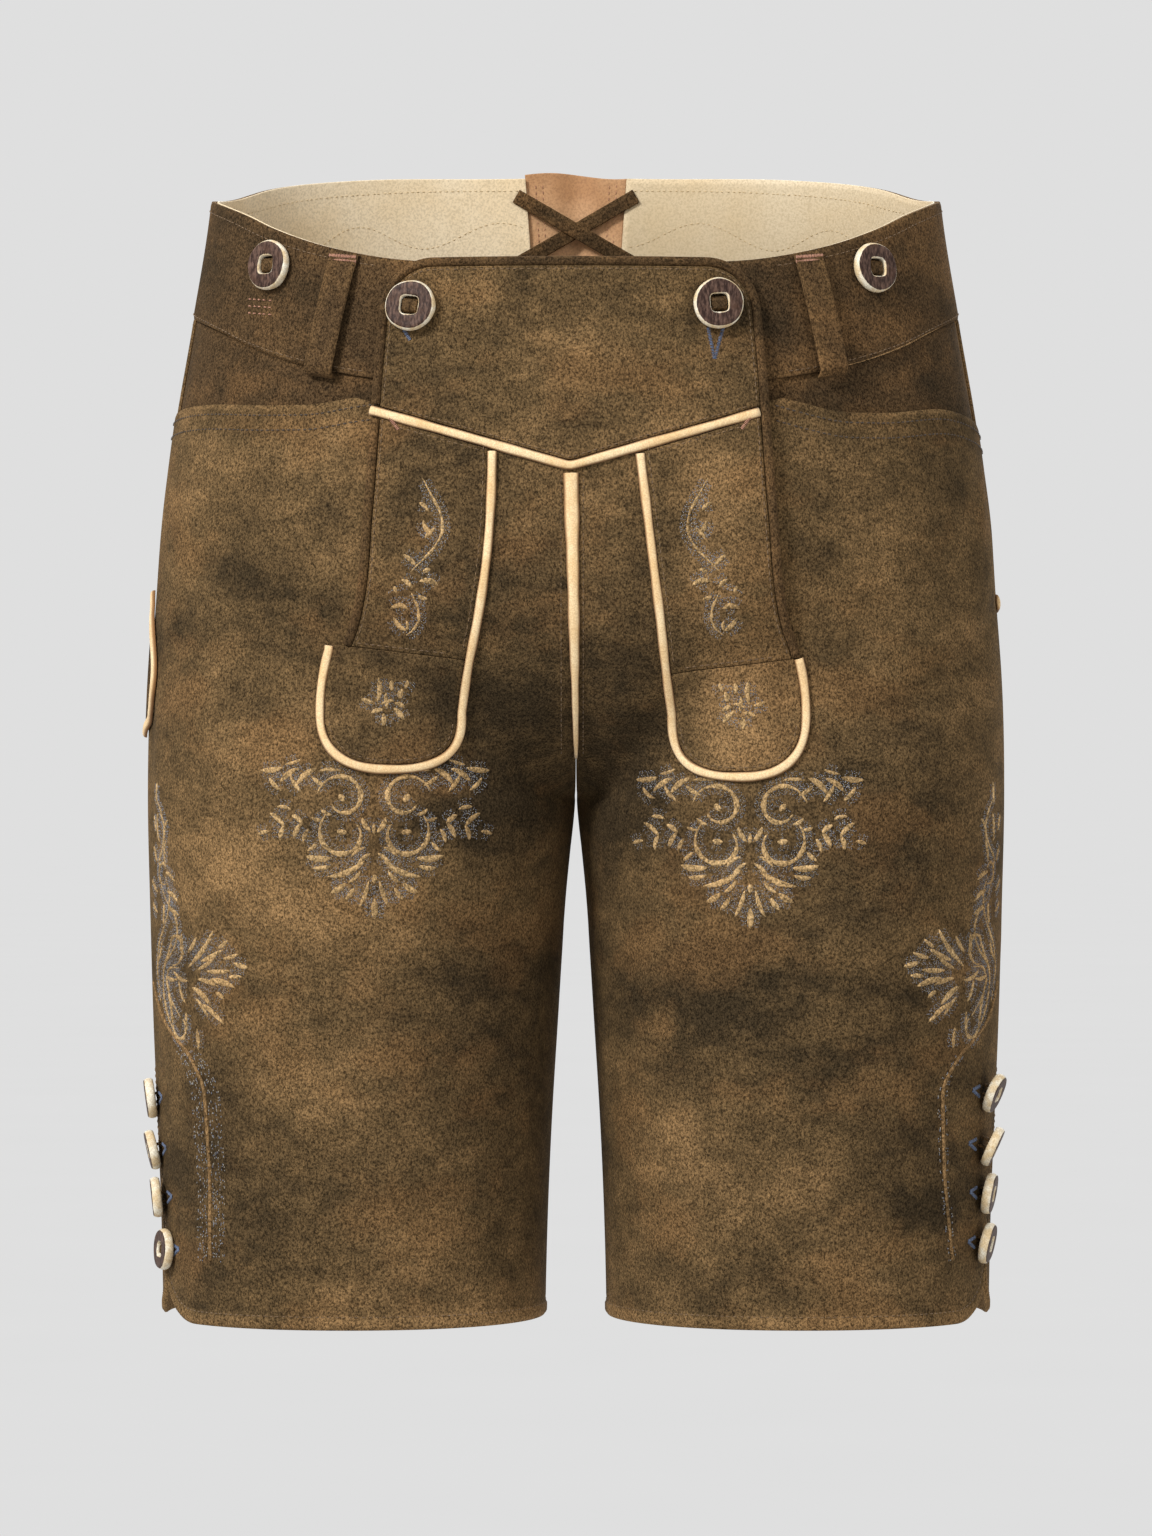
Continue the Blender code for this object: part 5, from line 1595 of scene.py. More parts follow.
# How far stitches lie in from an edge: a seam's first and second row, the rows below a pocket
# mouth, beside a strip's edging, beside its welt, round a foot and above the seam of a foot
SEAM_INSETS = (0.0052, 0.0110)
MOUTH_INSETS = (0.0047, 0.0118)
EDGING_INSET = 0.0018
WELT_INSET = 0.0040
FOOT_INSET = 0.0042
FOOT_SEAM_RISE = 0.0022
# Girth share that stitches keep from a panel's back end, and the heights of the band's two rows
HEM_END_S = 0.006
BAND_ROWS = (0.0028, BAND_HEIGHT - 0.0034)


def mouth_rows(side):
    """The two rows of dark stitches below a pocket mouth."""
    lines = []
    s = np.linspace(0.155, 0.492, 90)
    for inset in MOUTH_INSETS:
        z = mouth_line(side, s) - inset
        points, normals = skin(side, s, z)
        lines.append((points + normals * mouth_lift(side, s, z)[:, None], normals))
    return lines


def leg_seams(side):
    """Seam lines of the front panel and the back panel: hem, side seam, slit, middle and top."""
    leg = on_leg(side)
    share = np.linspace(0, 1, 120)
    first, second = SEAM_INSETS
    side_z = np.linspace(-0.375, -0.130, 80)
    slit_z = np.linspace(-0.480, -0.392, 30)
    seat_z = np.linspace(-0.236, GUSSET_TIP_Z, 50)
    centre_z = np.linspace(-0.110, CENTRE_WELT_END_Z, 50)
    top = np.linspace(0.505, 0.985, 120)
    top = np.minimum(top, back_end(band_bottom(top)) - 0.004)
    hem = hem_line(share) + HEM_FOLD
    front = [
        leg(0.004 + share * (side_seam(hem) - 0.010), hem),
        leg(side_seam(slit_z) - first, slit_z),
        skin_by_x(side * first + FLAP_X * 0.6, centre_z),
    ]
    start = side_seam(hem) + HEM_END_S
    back = [
        leg(start + share * (0.990 - start), hem_line(1 - share) + HEM_FOLD),
        leg(side_seam(side_z) + first, side_z),
        leg(side_seam(side_z) + second, side_z),
        leg(side_seam(slit_z) + first, slit_z),
        leg(1 - HEM_END_S + 0 * seat_z, seat_z),
        leg(top, band_bottom(top) - 0.0030),
    ]
    return front, back


def band_seams(side):
    """A line near the waistband's lower edge and one near its upper edge."""
    lines = []
    for height in BAND_ROWS:
        s = np.linspace(0.172, 0.99, 150)
        s = np.minimum(s, back_end(band_bottom(s) + height) - 0.005)
        lines.append(on_leg(side)(s, band_bottom(s) + height))
    return lines


def strip_seams(side):
    """Lines beside a strip's welt and its outer edging, above its foot and below the bib."""
    z = np.linspace(strip_end(side, 0.06) + 0.004, -0.095, 40)
    outer_z = np.linspace(strip_end(side, 0.09) + 0.004, -0.082, 40)
    x = foot(side, "middle") + np.linspace(-0.026, 0.016, 24)
    below_x = np.linspace(0.042, 0.080, 20)
    return [
        on_flap(side * (strip_inner(side, z) + WELT_INSET), z),
        on_flap(side * (flap_half_width(outer_z) - EDGING[0] - EDGING_INSET), outer_z),
        on_flap(side * x, strip_end(side, x) + FOOT_SEAM_RISE),
        on_flap(side * below_x, point_line(below_x) - 0.0046),
    ]


def foot_seam(side):
    """A line round a foot, inside its welt."""
    sine, cosine = rounded(np.linspace(0.06, 0.94, 40) * np.pi, FOOT_POWER)
    half, depth = foot(side, "half_width") - FOOT_INSET, foot(side, "depth") - FOOT_INSET
    x = foot(side, "middle") - half * cosine
    return [on_foot(side * x, foot(side, "shoulder_z") - depth * sine)]


def lining_line(side, height, wave, count):
    """A line on the lining's inner face, at a height in the band, with a wave along the girth."""
    s = np.linspace(0.02, 0.955, count)
    z = band_bottom(s) + height + wave * np.sin(2 * np.pi * s * GIRTH / 0.090 + side)
    points, normals = skin(side, np.minimum(s, back_end(z) - 0.006), z)
    return points - normals * (BAND_LEATHER + SEAM + LINING), -normals


def short_line(place, u, v, u_end, v_end, count=8):
    """A straight line between two places of a placing function."""
    return place(np.linspace(u, u_end, count), np.linspace(v, v_end, count))


def buttonhole(place, u, v, u_end, v_end, spread):
    """A worked buttonhole's two lips, which meet at its end."""
    return [short_line(place, u, v + sign * spread, u_end, v_end) for sign in (1, -1)]


def gusset_seams():
    """Two rows of stitches up each side of the gusset, on both its faces."""
    lines = []
    z = np.linspace(-0.010, GUSSET_TOP_Z - 0.004, 30)
    for share in (-0.80, -0.66, 0.66, 0.80):
        points, normals = skin_by_x(share * half_gap(z), z, back=True)
        for face, out in ((1, -2 * SEAM + 0.0002), (-1, -2 * SEAM - GUSSET_LEATHER)):
            lines.append((points + normals * out, face * normals))
    return lines


def sew_garment():
    """Every seam, each with the sheet that it is sewn in."""
    seams = {}
    for side in (1, -1):
        own = own_side(side)
        seams[f"front_leg_{own}"], seams[f"back_leg_{own}"] = leg_seams(side)
        seams[f"band_{own}"] = band_seams(side)
        seams[f"strip_{own}"] = strip_seams(side)
        seams[f"foot_{own}"] = foot_seam(side)
        mouth = sew(f"mouth_seams_{own}", mouth_rows(side), "dark_thread", MOUTH_STITCH)
        sewn_on(f"front_leg_{own}", mouth)
        lines = [
            lining_line(side, BAND_HEIGHT - 0.0052, 0.0, 120),
            lining_line(side, 0.0290, 0.0062, 200),
        ]
        sewn_on(f"lining_{own}", sew(f"lining_seams_{own}", lines, "cream_thread", FINE_STITCH))
    x = np.linspace(-0.0830, 0.0830, 90)
    rim = laid(flap_rim(EDGING[0] + 0.0016, -0.074), on_flap)
    seams["bib"] = [rim, on_flap(x, point_line(x) + 0.0042)]
    for host, lines in seams.items():
        sewn_on(host, sew(f"seams_{host}", lines, "seam_thread"))
    sewn_on("gusset_sheet", sew("gusset_seams", gusset_seams(), "rust_thread", FINE_STITCH))


def on_loop(x, z):
    """Places on a belt loop's outer face at its top."""
    points, normals = skin_by_x(x, z)
    return points + normals * (LOOP[1] + 0.0006), normals


def tacks():
    """Bar tacks at the belt loops, the strips and a brace button, and worked buttonholes."""
    rust, blue = {}, {}
    top = float(band_top(0.20))
    for side in (1, -1):
        own = own_side(side)
        leg = on_leg(side, 0.0001)
        rust[f"band_{own}"] = [
            short_line(on_loop, side * 0.1030, top - low, side * 0.1160, top + 0.0015 - low)
            for low in (0.0022, 0.0042)
        ]
        blue[f"front_leg_{own}"] = []
        for row in rows(LEG_BUTTONS, LEG_BUTTON_COLUMNS):
            if row["side"] == side:
                s, z = row["s"], row["z"]
                lips = buttonhole(leg, s - 0.008, z, s - 0.021, z + 0.001, 0.0026)
                blue[f"front_leg_{own}"] += lips
    # The wearer's left flap button has a long buttonhole with two lips, the right one a short lip
    blue["bib"] = []
    lips_by_button = ((0.0260, (-0.0040, 0.0030)), (0.0160, (-0.0040,)))
    for row, (tall, starts) in zip(rows(BIG_BUTTONS, BIG_BUTTON_COLUMNS), lips_by_button):
        x, z = row["x"] - FLAP_X, row["z"]
        for start in starts:
            lip = short_line(on_flap, x + start, z - 0.0110, x - 0.0010, z - tall)
            blue["bib"].append(lip)
    worn = []
    for low in 0.0034 * np.arange(3):
        worn.append(short_line(skin_by_x, -0.1575, -0.0215 - low, -0.1450, -0.0232 - low))
    sewn_on("band_right", sew("band_tack", worn, "rust_thread", MOUTH_STITCH))
    start, end = 0.0800, 0.0852
    low, high = point_line(start) - 0.0058, point_line(end) + 0.0002
    for side in (1, -1):
        rust[f"strip_{own_side(side)}"] = [short_line(on_flap, side * start, low, side * end, high)]
    for label, sheets, thread_name in (
        ("tacks", rust, "rust_thread"),
        ("buttonholes", blue, "buttonhole_thread"),
    ):
        for host, lines in sheets.items():
            sewn_on(host, sew(f"{label}_{host}", lines, thread_name, SATIN, cross=True))


# Embroidery

# Traditional chain-stitched motifs, in millimetres from their own middle. A leaf runs from its
# first place to its second and bends to its left; a scroll winds round its middle, in degrees
LEAF_COLUMNS = ("u", "b", "u_end", "b_end", "bend", "wide")
SCROLL_COLUMNS = ("u", "b", "radius", "radius_end", "start", "sweep", "wide")
THIGH_LEAVES = (
    (15.5, 31.5, 26.0, 31.5, 0.6, 1.5),
    (27.5, 32.5, 36.5, 25.0, 1.1, 2.3),
    (35.5, 32.5, 44.5, 26.0, 1.0, 2.1),
    (43.0, 33.0, 54.0, 31.8, -0.6, 2.1),
    (34.5, 37.0, 42.5, 34.5, -0.5, 1.3),
    (49.5, 11.5, 42.5, 5.0, -0.7, 1.9),
    (42.5, 5.5, 44.5, -1.5, 0.7, 1.9),
    (39.0, 10.5, 34.0, 6.5, -0.6, 2.0),
    (34.0, 6.8, 38.0, -0.5, 0.7, 2.0),
    (31.0, 4.0, 33.5, -2.5, 0.5, 1.7),
    (50.0, 2.8, 55.0, 1.4, 0.3, 1.6),
    (20.0, -9.6, 32.5, -8.6, -1.1, 2.5),
    (4.5, -10.8, 22.0, -18.5, -1.9, 2.3),
    (13.5, -21.6, 20.5, -26.0, -0.6, 2.3),
    (9.5, -23.8, 14.0, -29.6, -0.4, 1.9),
    (2.6, -20.5, 7.2, -33.0, -0.7, 1.7),
    (1.2, 2.4, 5.6, 9.6, -0.8, 1.9),
    (1.6, -7.4, 8.2, -14.2, 0.8, 1.6),
    (4.2, -4.6, 11.0, -9.4, 0.9, 1.5),
    (14.2, 16.8, 16.8, 20.2, 0.3, 2.3),
    (12.8, 2.6, 17.6, 3.2, -0.4, 2.2),
    (20.0, 10.6, 25.2, 13.6, -0.6, 1.5),
    (29.5, 29.0, 23.0, 24.5, 0.6, 1.6),
    (39.5, 29.5, 34.5, 21.5, 0.6, 1.7),
    (50.0, 28.5, 44.0, 22.0, 0.6, 1.6),
    (46.0, 14.5, 39.5, 13.2, -0.5, 1.5),
    (27.0, -2.4, 31.5, -6.4, -0.4, 1.7),
    (20.5, -13.4, 29.0, -14.4, -0.6, 1.8),
    (6.5, -15.8, 12.5, -21.6, -0.7, 1.6),
    (24.5, 8.0, 29.6, 9.4, -0.4, 1.4),
)
THIGH_MIDDLE = (
    (0.0, -28.8, 0.0, -38.6, 0.2, 2.5),
    (0.0, -17.4, 0.0, -21.8, 0.1, 2.1),
    (0.0, 1.6, 0.0, 6.6, 0.1, 1.6),
)
THIGH_SCROLLS = (
    (14.8, 18.6, 12.2, 6.0, 12.0, 318.0, 2.2),
    (14.4, 1.8, 12.4, 7.6, 46.0, -262.0, 2.2),
)
FAN_LEAVES = (
    (3.0, 5.0, 14.0, 16.5, -0.8, 2.2),
    (14.0, -3.0, 28.5, -6.4, 0.7, 2.4),
    (2.0, -7.0, 14.5, -15.6, 1.0, 2.4),
    (17.5, -9.0, 22.5, -12.0, 0.3, 1.8),
    (28.0, 5.2, 36.0, 3.2, -0.3, 2.0),
    (12.0, 1.0, 26.0, 1.4, -0.4, 1.9),
    (8.0, 5.6, 22.0, 11.4, -0.6, 2.0),
    (-1.0, 9.5, 5.5, 17.2, -0.6, 2.0),
    (-7.0, 9.5, -6.0, 18.5, -0.6, 1.8),
    (8.0, -14.5, 22.0, -24.0, 0.8, 2.0),
    (4.5, -26.5, 5.5, -37.0, 0.4, 1.9),
    (-3.5, -19.0, -4.5, -29.0, 0.5, 1.7),
    (-14.0, 0.5, -1.0, -4.2, -1.4, 1.7),
    (-22.0, -2.0, -10.0, -3.4, -1.2, 1.6),
    (-9.0, -4.0, -4.0, -14.6, -0.9, 1.7),
    (-20.0, -10.0, -16.5, -25.0, 1.1, 1.9),
    (-25.0, 3.0, -16.5, 13.5, -1.4, 1.7),
    (-33.0, 4.5, -26.5, 14.5, -1.3, 1.7),
    (-24.5, 22.0, -23.0, 32.5, -0.7, 1.8),
    (-20.0, 38.5, -8.5, 33.5, 0.9, 1.9),
    (-18.5, 30.0, -8.0, 27.0, 0.7, 1.7),
    (-33.0, 28.0, -41.0, 33.0, 0.7, 1.7),
    (-32.0, 38.0, -42.0, 44.0, 0.7, 1.7),
    (-22.0, 47.5, -11.0, 43.5, 0.8, 1.8),
    (-21.5, 52.0, -17.5, 63.0, 1.0, 1.9),
    (-33.0, 52.0, -39.0, 60.0, -0.7, 1.7),
    (-28.0, 62.0, -26.5, 76.0, 0.8, 1.9),
    (-19.5, 66.0, -14.0, 73.0, 0.5, 1.6),
    (-35.0, 67.0, -39.0, 75.0, -0.5, 1.6),
    (-27.5, 80.0, -26.5, 91.0, 0.3, 1.7),
    (6.0, 1.6, 17.0, 7.4, -0.6, 1.7),
    (19.0, 12.0, 25.0, 16.0, -0.4, 1.6),
    (10.5, 12.0, 16.5, 20.5, -0.5, 1.7),
    (-1.0, 2.4, 9.6, 12.6, -0.8, 1.6),
    (25.0, -1.8, 32.5, -1.4, 0.3, 1.6),
    (6.0, -3.0, 19.0, -6.2, 0.6, 1.8),
    (22.0, 7.0, 31.0, 9.6, -0.4, 1.7),
    (4.0, -12.0, 12.5, -21.0, 0.7, 1.6),
)
FAN_SCROLLS = (
    (-12.0, 12.0, 9.5, 3.5, 250.0, 300.0, 1.9),
    (-24.0, 48.0, 7.0, 3.0, 300.0, -280.0, 1.7),
    (-8.0, -26.0, 8.5, 3.4, 150.0, 280.0, 1.8),
)
FAN_STEMS = (
    (
        (-5, -37), (-13, -31), (-22, -21), (-27, -8), (-24, 4),
        (-14, 9), (-8, 18), (-11, 28), (-21, 34), (-28, 43),
    ),
    ((-28, 43), (-30, 54), (-22, 60), (-17, 68), (-21, 77), (-29, 84)),
    ((-8, -22), (-17, -14), (-22, -4), (-18, 2), (-8, 2)),
    ((-31, -16), (-35, -2), (-32, 12), (-24, 20), (-17, 29), (-17, 39), (-23, 46)),
)
VINE_LEAVES = (
    (4.8, 18.2, 8.8, 10.8, -0.6, 1.9),
    (4.8, -6.2, 8.4, -4.8, 0.3, 1.7),
    (3.0, -10.4, 11.6, -12.2, 1.3, 2.0),
    (-10.6, -22.8, -2.4, -23.2, 1.6, 2.1),
    (-9.4, -26.8, -3.2, -33.2, -0.9, 1.9),
    (-3.4, -33.0, -3.2, -28.6, -0.5, 1.4),
    (-9.0, -12.4, -8.0, -15.6, 0.2, 1.4),
    (10.6, 14.4, 5.6, 9.0, -0.7, 1.6),
    (2.6, 26.4, 7.2, 22.4, 0.7, 1.5),
    (-5.4, -9.6, -0.4, -13.4, 0.8, 1.7),
    (6.8, -18.4, 2.4, -16.6, 0.5, 1.5),
    (-4.6, 2.0, 1.4, -3.4, 0.6, 1.6),
)
VINE_STEMS = (
    ((4.4, 38.0), (9.0, 29.2), (13.4, 21.0), (14.0, 12.4), (10.0, 4.8), (4.2, -0.8), (-1.2, -6.0)),
    ((-0.8, -15.6), (2.4, -22.6), (2.6, -28.8), (-0.2, -33.0), (-3.6, -35.4)),
)
STAR_LEAVES = (
    (-4.4, -3.6, 1.6, -1.6, 0.6, 1.5),
    (-1.6, -5.4, -2.0, 2.4, 0.3, 1.6),
    (-13.6, -0.6, -8.0, -2.4, -0.5, 1.7),
    (-6.2, -2.2, -5.4, 9.6, -0.9, 2.0),
    (0.6, 3.2, 1.0, 8.4, 0.2, 1.9),
    (2.0, -2.6, 6.6, -5.0, 0.5, 1.8),
    (8.4, 8.6, 6.6, 4.2, 0.3, 1.5),
    (4.6, -0.6, 5.6, 4.2, 0.4, 2.2),
    (1.0, -5.0, 6.2, -10.8, 0.5, 2.0),
    (-3.2, -7.6, -3.8, -14.0, 0.2, 1.9),
    (-9.2, -7.6, -3.4, -6.0, 0.4, 1.8),
)
# Stations along a leaf, how much wider than its row a stroke is built, a stem's width, and how far
# a stroke's foot sinks into the leather
MOTIF_STATIONS = 12
STROKE_WIDTH = 1.35
STEM_WIDTH = 1.8
RELIEF_SINK = 0.0001


def leaf_path(leaf):
    """A leaf's middle line: straight, moved to its left by bend x 4 t (1 - t)."""
    t = np.linspace(0, 1, MOTIF_STATIONS)[:, None]
    start, end = np.array([leaf["u"], leaf["b"]]), np.array([leaf["u_end"], leaf["b_end"]])
    left = np.array([start[1] - end[1], end[0] - start[0]]) / np.linalg.norm(end - start)
    return start + (end - start) * t + left * leaf["bend"] * 4 * t * (1 - t)


def scroll_path(scroll):
    """A scroll's middle line: middle + radius (cos, sin). The angle is even, the radius goes by t^0.8."""
    t = np.linspace(0, 1, 3 * MOTIF_STATIONS)
    angle = np.radians(scroll["start"] + scroll["sweep"] * t)
    radius = scroll["radius"] + (scroll["radius_end"] - scroll["radius"]) * t**0.8
    middle = np.array([scroll["u"], scroll["b"]])
    return middle + radius[:, None] * np.stack([np.cos(angle), np.sin(angle)], axis=-1)


def pointed(count, wide, sharp=0.55):
    """Widths along a leaf: wide x sin(pi t)^sharp, and never under a tenth of wide."""
    return wide * np.maximum(np.sin(np.pi * np.linspace(0, 1, count)) ** sharp, 0.10)


def swelling(count, wide):
    """Widths along a scroll: those of a leaf x (0.62 + 0.38 cos(4 pi t)^2), so it thins four times."""
    t = np.linspace(0, 1, count)
    return pointed(count, wide, 0.4) * (0.62 + 0.38 * np.cos(4 * np.pi * t) ** 2)


def motif(leaves=(), scrolls=(), stems=(), middle=(), both=False):
    """A motif's strokes as (path, widths), in millimetres. both adds the mirrored half."""

    def leaf_strokes(table):
        """The strokes of a table of leaves."""
        return [
            (leaf_path(leaf), pointed(MOTIF_STATIONS, STROKE_WIDTH * leaf["wide"]))
            for leaf in rows(table, LEAF_COLUMNS)
        ]

    strokes = leaf_strokes(leaves)
    for scroll in rows(scrolls, SCROLL_COLUMNS):
        path = scroll_path(scroll)
        strokes.append((path, swelling(len(path), STROKE_WIDTH * scroll["wide"])))
    for stem in stems:
        path = smoothed(fine(stem, 3 * MOTIF_STATIONS), 3)
        strokes.append((path, swelling(len(path), STEM_WIDTH)))
    if both:
        strokes += [(path * (-1, 1), wide) for path, wide in strokes]
    return strokes + leaf_strokes(middle)


# Distances of the thread rows from a stroke's edge, in millimetres
THREAD_ROWS = (("blue_thread", (0.2, 1.6, 2.7)), ("white_thread", (0.8, 2.2)))


def embroider(name, strokes, place, height=0.75):
    """A motif on the leather: raised strokes, with stitches in two threads along both their sides."""
    pieces = []
    for label, count in (("leaves", MOTIF_STATIONS), ("scrolls", 3 * MOTIF_STATIONS)):
        chosen = [stroke for stroke in strokes if len(stroke[0]) == count]
        if not chosen:
            continue
        paths, wide = (np.array(part) / 1000 for part in zip(*chosen))
        points, normals = place(paths[..., 0], paths[..., 1])
        tall = np.minimum(0.55 * wide, height / 1000)
        shape = EMBROIDERY_BEAD * np.stack([wide, tall], axis=-1)[..., None, :]
        rings = rings_along(points - normals * RELIEF_SINK, normals, shape)
        plain = np.zeros(rings.shape[:3])
        pieces.append(repeated(f"{name}_{label}", rings, "relief", tone=plain, flesh=plain))
    for thread_name, distances in THREAD_ROWS:
        lines = []
        for path, wide in strokes:
            along = unit(np.gradient(path, axis=0))
            left = np.stack([-along[:, 1], along[:, 0]], axis=-1)
            for away in (*distances, *(-distance for distance in distances)):
                border = path + left * (math.copysign(1, away) * wide / 2 + away)[:, None]
                lines.append(place(*(border[1:-1] / 1000).T))
        pieces.append(sew(f"{name}_{thread_name}", lines, thread_name, DOT, around=3, spread=0.45))
    return pieces


# The motifs' middles by side: (x, z) for the thighs, vines and stars, (s, z) for the fans
THIGHS = {-1: (-0.0952, -0.2792), 1: (0.0822, -0.2838)}
FAN_MIDDLE = {-1: (0.386, -0.3442), 1: (0.386, -0.3436)}
VINES = {-1: (-0.0732, -0.1482), 1: (0.0690, -0.1482)}
STARS = {-1: (-0.0846, -0.2129), 1: (0.0790, -0.2143)}
# The stitched ridge below a fan, as a girth share at each height, and its rows of stitches
RIDGE_COLUMNS = ("z", "right", "left")
RIDGE = (
    (-0.350, 0.462, 0.455),
    (-0.367, 0.432, 0.432),
    (-0.383, 0.389, 0.386),
    (-0.398, 0.372, 0.366),
    (-0.440, 0.369, 0.371),
    (-0.482, 0.371, 0.384),
)
RIDGE_BEAD = (0.0020, 0.0009)
RIDGE_ROWS = {-1: 4, 1: 1}
RIDGE_ROW_START = 24


def ridge(side, label, s, z):
    """The ridge on a front or back panel, and the loose bands of stitches beside its lower part."""
    name = f"{label}_{own_side(side)}"
    host = f"{label}_leg_{own_side(side)}"
    points, normals = skin(side, s, z)
    path = points - normals * RELIEF_SINK
    line = sweep(f"ridge_{name}", path, normals, bead(*RIDGE_BEAD), "outer_suede", 0.7)
    sewn_on(host, line)
    shake = np.random.default_rng(7)
    s, z = s[RIDGE_ROW_START:], z[RIDGE_ROW_START:]
    for thread_name in ("blue_thread", "white_thread"):
        lines = []
        for number in range(RIDGE_ROWS[side]):
            for hand in (1, -1):
                away = hand * (0.0024 + 0.0022 * number) + shake.uniform(-0.0012, 0.0012, len(z))
                lines.append(skin(side, s + away / GIRTH, z))
        sewn_on(host, sew(f"{thread_name}_{name}", lines, thread_name, BAND_DOT, spread=0.9))


def embroidery():
    """Motifs on the thighs, the sides (front and back alike), the strips and the feet."""
    thigh_strokes = motif(THIGH_LEAVES, THIGH_SCROLLS, middle=THIGH_MIDDLE, both=True)
    fan_strokes = motif(FAN_LEAVES, FAN_SCROLLS, FAN_STEMS)
    vine_strokes = motif(VINE_LEAVES, stems=VINE_STEMS)
    star_strokes = motif(STAR_LEAVES)
    for side in (1, -1):
        own = own_side(side)

        def thigh(u, b):
            """A place of the thigh's motif."""
            return skin_by_x(THIGHS[side][0] + u, THIGHS[side][1] + b)

        def front_side(u, b):
            """A place of the front fan."""
            return skin(side, FAN_MIDDLE[side][0] - u / GIRTH, FAN_MIDDLE[side][1] + b)

        def back_side(u, b):
            """The same place behind the side seam."""
            return skin(side, 1.0 - FAN_MIDDLE[side][0] + u / GIRTH, FAN_MIDDLE[side][1] + b)

        def strip(u, b):
            """A place of the strip's vine."""
            return on_flap(VINES[side][0] - side * u, VINES[side][1] + b)

        def star(u, b):
            """A place of the foot's star."""
            return on_foot(STARS[side][0] - side * u, STARS[side][1] + b)

        for host, name, strokes, place in (
            (f"front_leg_{own}", f"thigh_motif_{own}", thigh_strokes, thigh),
            (f"front_leg_{own}", f"side_motif_{own}", fan_strokes, front_side),
            (f"back_leg_{own}", f"side_motif_back_{own}", fan_strokes, back_side),
            (f"strip_{own}", f"vine_{own}", vine_strokes, strip),
            (f"foot_{own}", f"star_{own}", star_strokes, star),
        ):
            sewn_on(host, *embroider(name, strokes, place))
        z, s = named(RIDGE, RIDGE_COLUMNS, own)
        line = smoothed(fine(np.stack([s, z], axis=-1), 60), 4)
        s, z = line.T
        ridge(side, "front", s, z)
        ridge(side, "back", 2 * side_seam(z) - s, z)


# Putting it together


def dress():
    """Every piece of the garment, each in place of its solid."""
    for side in (1, -1):
        own = own_side(side)
        for make, piece, node in (
            (front_panel, "front_leg", "leg_front"),
            (back_panel, "back_leg", "leg_back"),
            (waistband, "band", "waistband"),
            (waist_lining, "lining", "waist_lining"),
            (hip_facing, "facing", "hip_facing"),
            (slit_underlap, "underlap", "slit_underlap"),
            (ornament_strip, "strip", "flap_strip"),
            (strip_foot, "foot", "strip_foot"),
            (strip_welt, "strip_piping", "strip_welt"),
        ):
            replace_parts(make(side, f"{piece}_{own}"), f"{node}_{own}")
        sewn_on(f"strip_{own}", bpy.data.objects[f"strip_piping_{own}"])
        for place, x_top, x_bottom in BELT_LOOPS:
            loop = belt_loop(f"loop_{place}_{own}", side * x_top, side * x_bottom, place == "back")
            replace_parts(loop, f"belt_loop_{place}_{own}")
            sewn_on(f"band_{own}", loop)
    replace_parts(back_gusset(), "back_gusset")
    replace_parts(front_flap(), "front_flap")
    whole, short = flap_edging()
    sheet, knife_welt = knife_pocket()
    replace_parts(sheet, "knife_pocket")
    for piece, node, host in (
        (whole, "flap_edging", "bib"),
        (short, "strip_edging_right", "strip_right"),
        (point_welt(), "point_welt", "bib"),
        (centre_welt(), "centre_welt", "front_leg_left"),
        (knife_welt, "knife_pocket_welt", "front_leg_right"),
        (back_pocket_welt(), "back_pocket_welt", "back_leg_left"),
    ):
        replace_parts(piece, node)
        sewn_on(host, piece)
    sewn_on("gusset_sheet", *back_lacing())
    buttons()


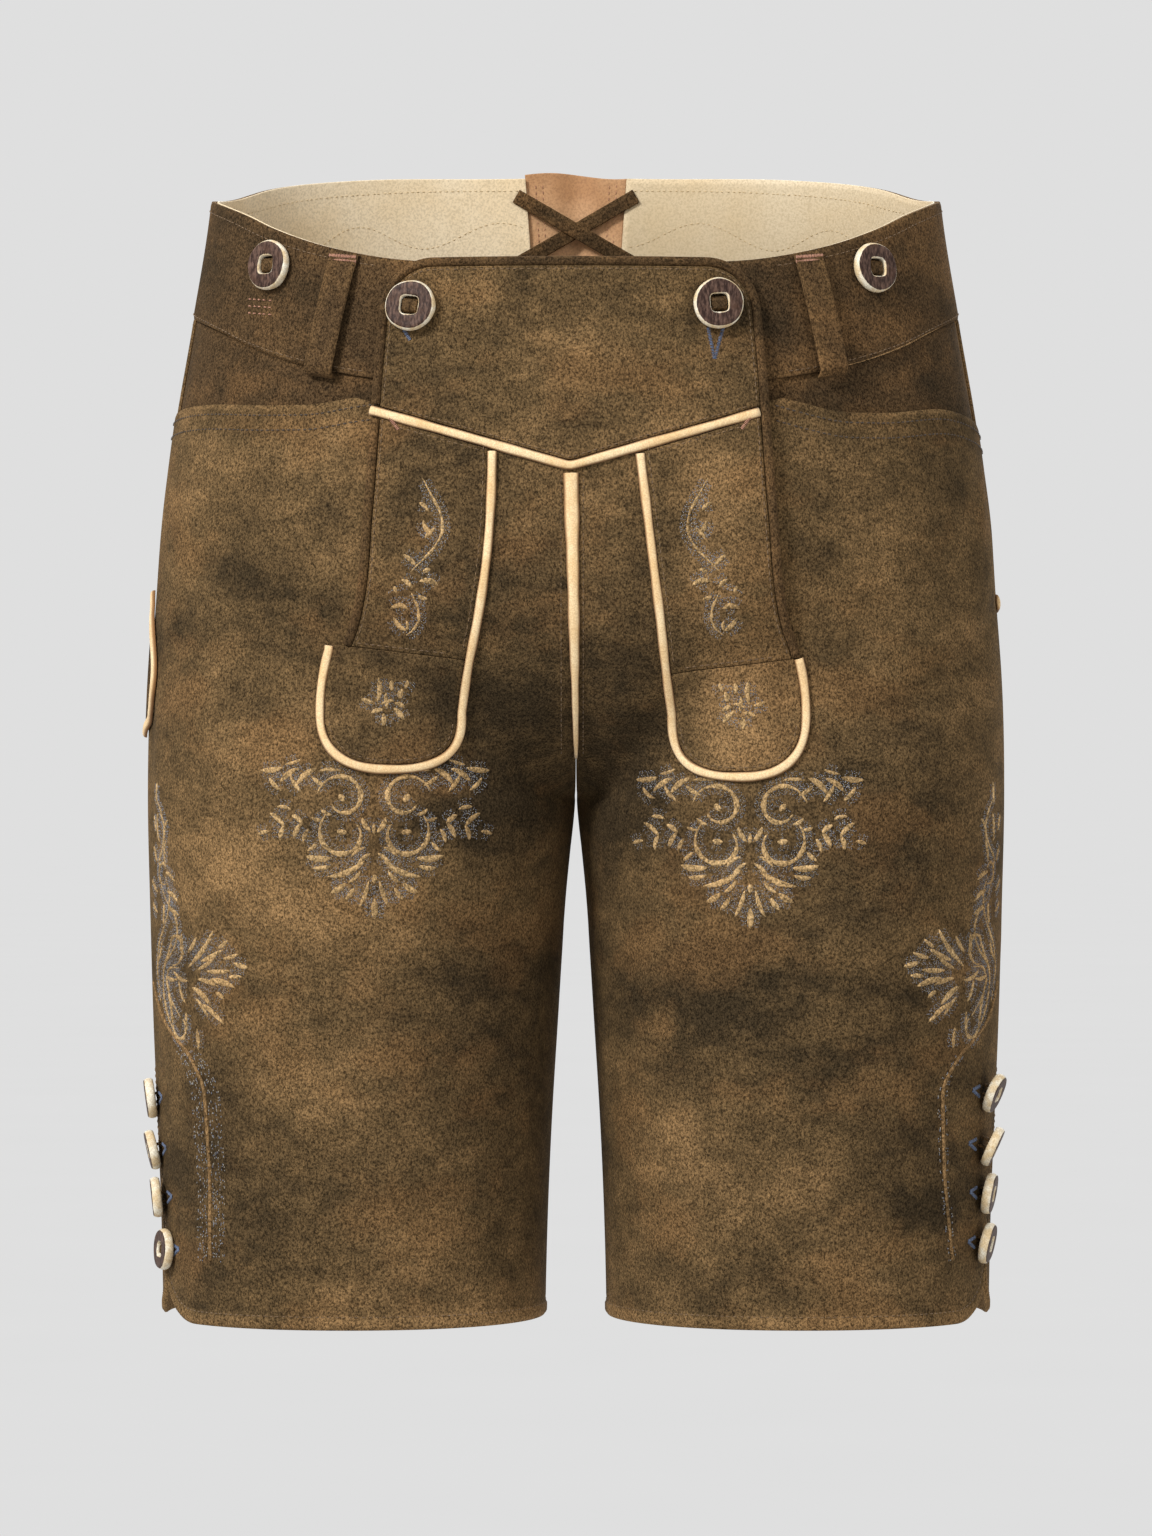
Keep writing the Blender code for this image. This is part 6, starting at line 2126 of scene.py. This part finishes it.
# Place, size and power of each lamp, and half the floor's length
LAMP_COLUMNS = ("name", "place", "size", "power")
LAMPS = (
    ("key", (-2.1, -2.4, 1.9), 0.75, 132),
    ("fill", (2.2, -2.4, 0.4), 2.0, 12),
    ("back", (0.5, 3.0, 1.6), 2.0, 60),
)
LAMP_AIM = (0, 0, -0.2)
FLOOR_REACH = 80


def add_camera():
    """Level, in front, at the photograph's distance."""
    camera = bpy.data.objects.new("camera", bpy.data.cameras.new("camera"))
    camera.location = (0, CAMERA_Y, CAMERA_Z)
    camera.rotation_euler = (math.radians(90), 0, 0)
    camera.data.lens = CAMERA_LENS
    camera.data.clip_end = 200
    bpy.context.scene.collection.objects.link(camera)
    bpy.context.scene.camera = camera


def add_lamp(name, place, size, power):
    """A soft square lamp that faces the garment's middle."""
    lamp = bpy.data.lights.new(name, "AREA")
    lamp.size = size
    lamp.energy = power
    lit = bpy.data.objects.new(name, lamp)
    lit.location = place
    aim = np.array(LAMP_AIM) - np.array(place)
    tilt = math.acos(-aim[2] / np.linalg.norm(aim))
    lit.rotation_euler = (tilt, 0, math.atan2(aim[1], aim[0]) - math.pi / 2)
    bpy.context.scene.collection.objects.link(lit)


def studio():
    """A pale floor under an even pale sky, with three soft lamps."""
    world = bpy.data.worlds.new("studio")
    world.use_nodes = True
    world.node_tree.nodes["Background"].inputs["Color"].default_value = paint(223, 223, 223)
    bpy.context.scene.world = world
    finish = Finish("pale_floor", roughness=0.9, emission_strength=1.0, base_color=paint(0, 0, 0))
    finish.shader.inputs["Specular IOR Level"].default_value = 0.0
    grain = finish.noise(3.0, 2.0)
    finish.show(emission_color=finish.mix(grain, paint(222, 222, 222), paint(224, 224, 224)))
    mesh = bpy.data.meshes.new("floor")
    corners = [
        (FLOOR_REACH * x, FLOOR_REACH * y, FLOOR_Z) for x, y in ((-1, -1), (1, -1), (1, 1), (-1, 1))
    ]
    mesh.from_pydata(corners, [], [(0, 1, 2, 3)])
    mesh.materials.append(finish.material)
    floor = bpy.data.objects.new("floor", mesh)
    bpy.context.scene.collection.objects.link(floor)
    for row in rows(LAMPS, LAMP_COLUMNS):
        add_lamp(**row)
    bpy.context.scene.view_settings.view_transform = "Standard"


add_camera()
studio()
dress()
embroidery()
sew_garment()
tacks()
declare_sheets()
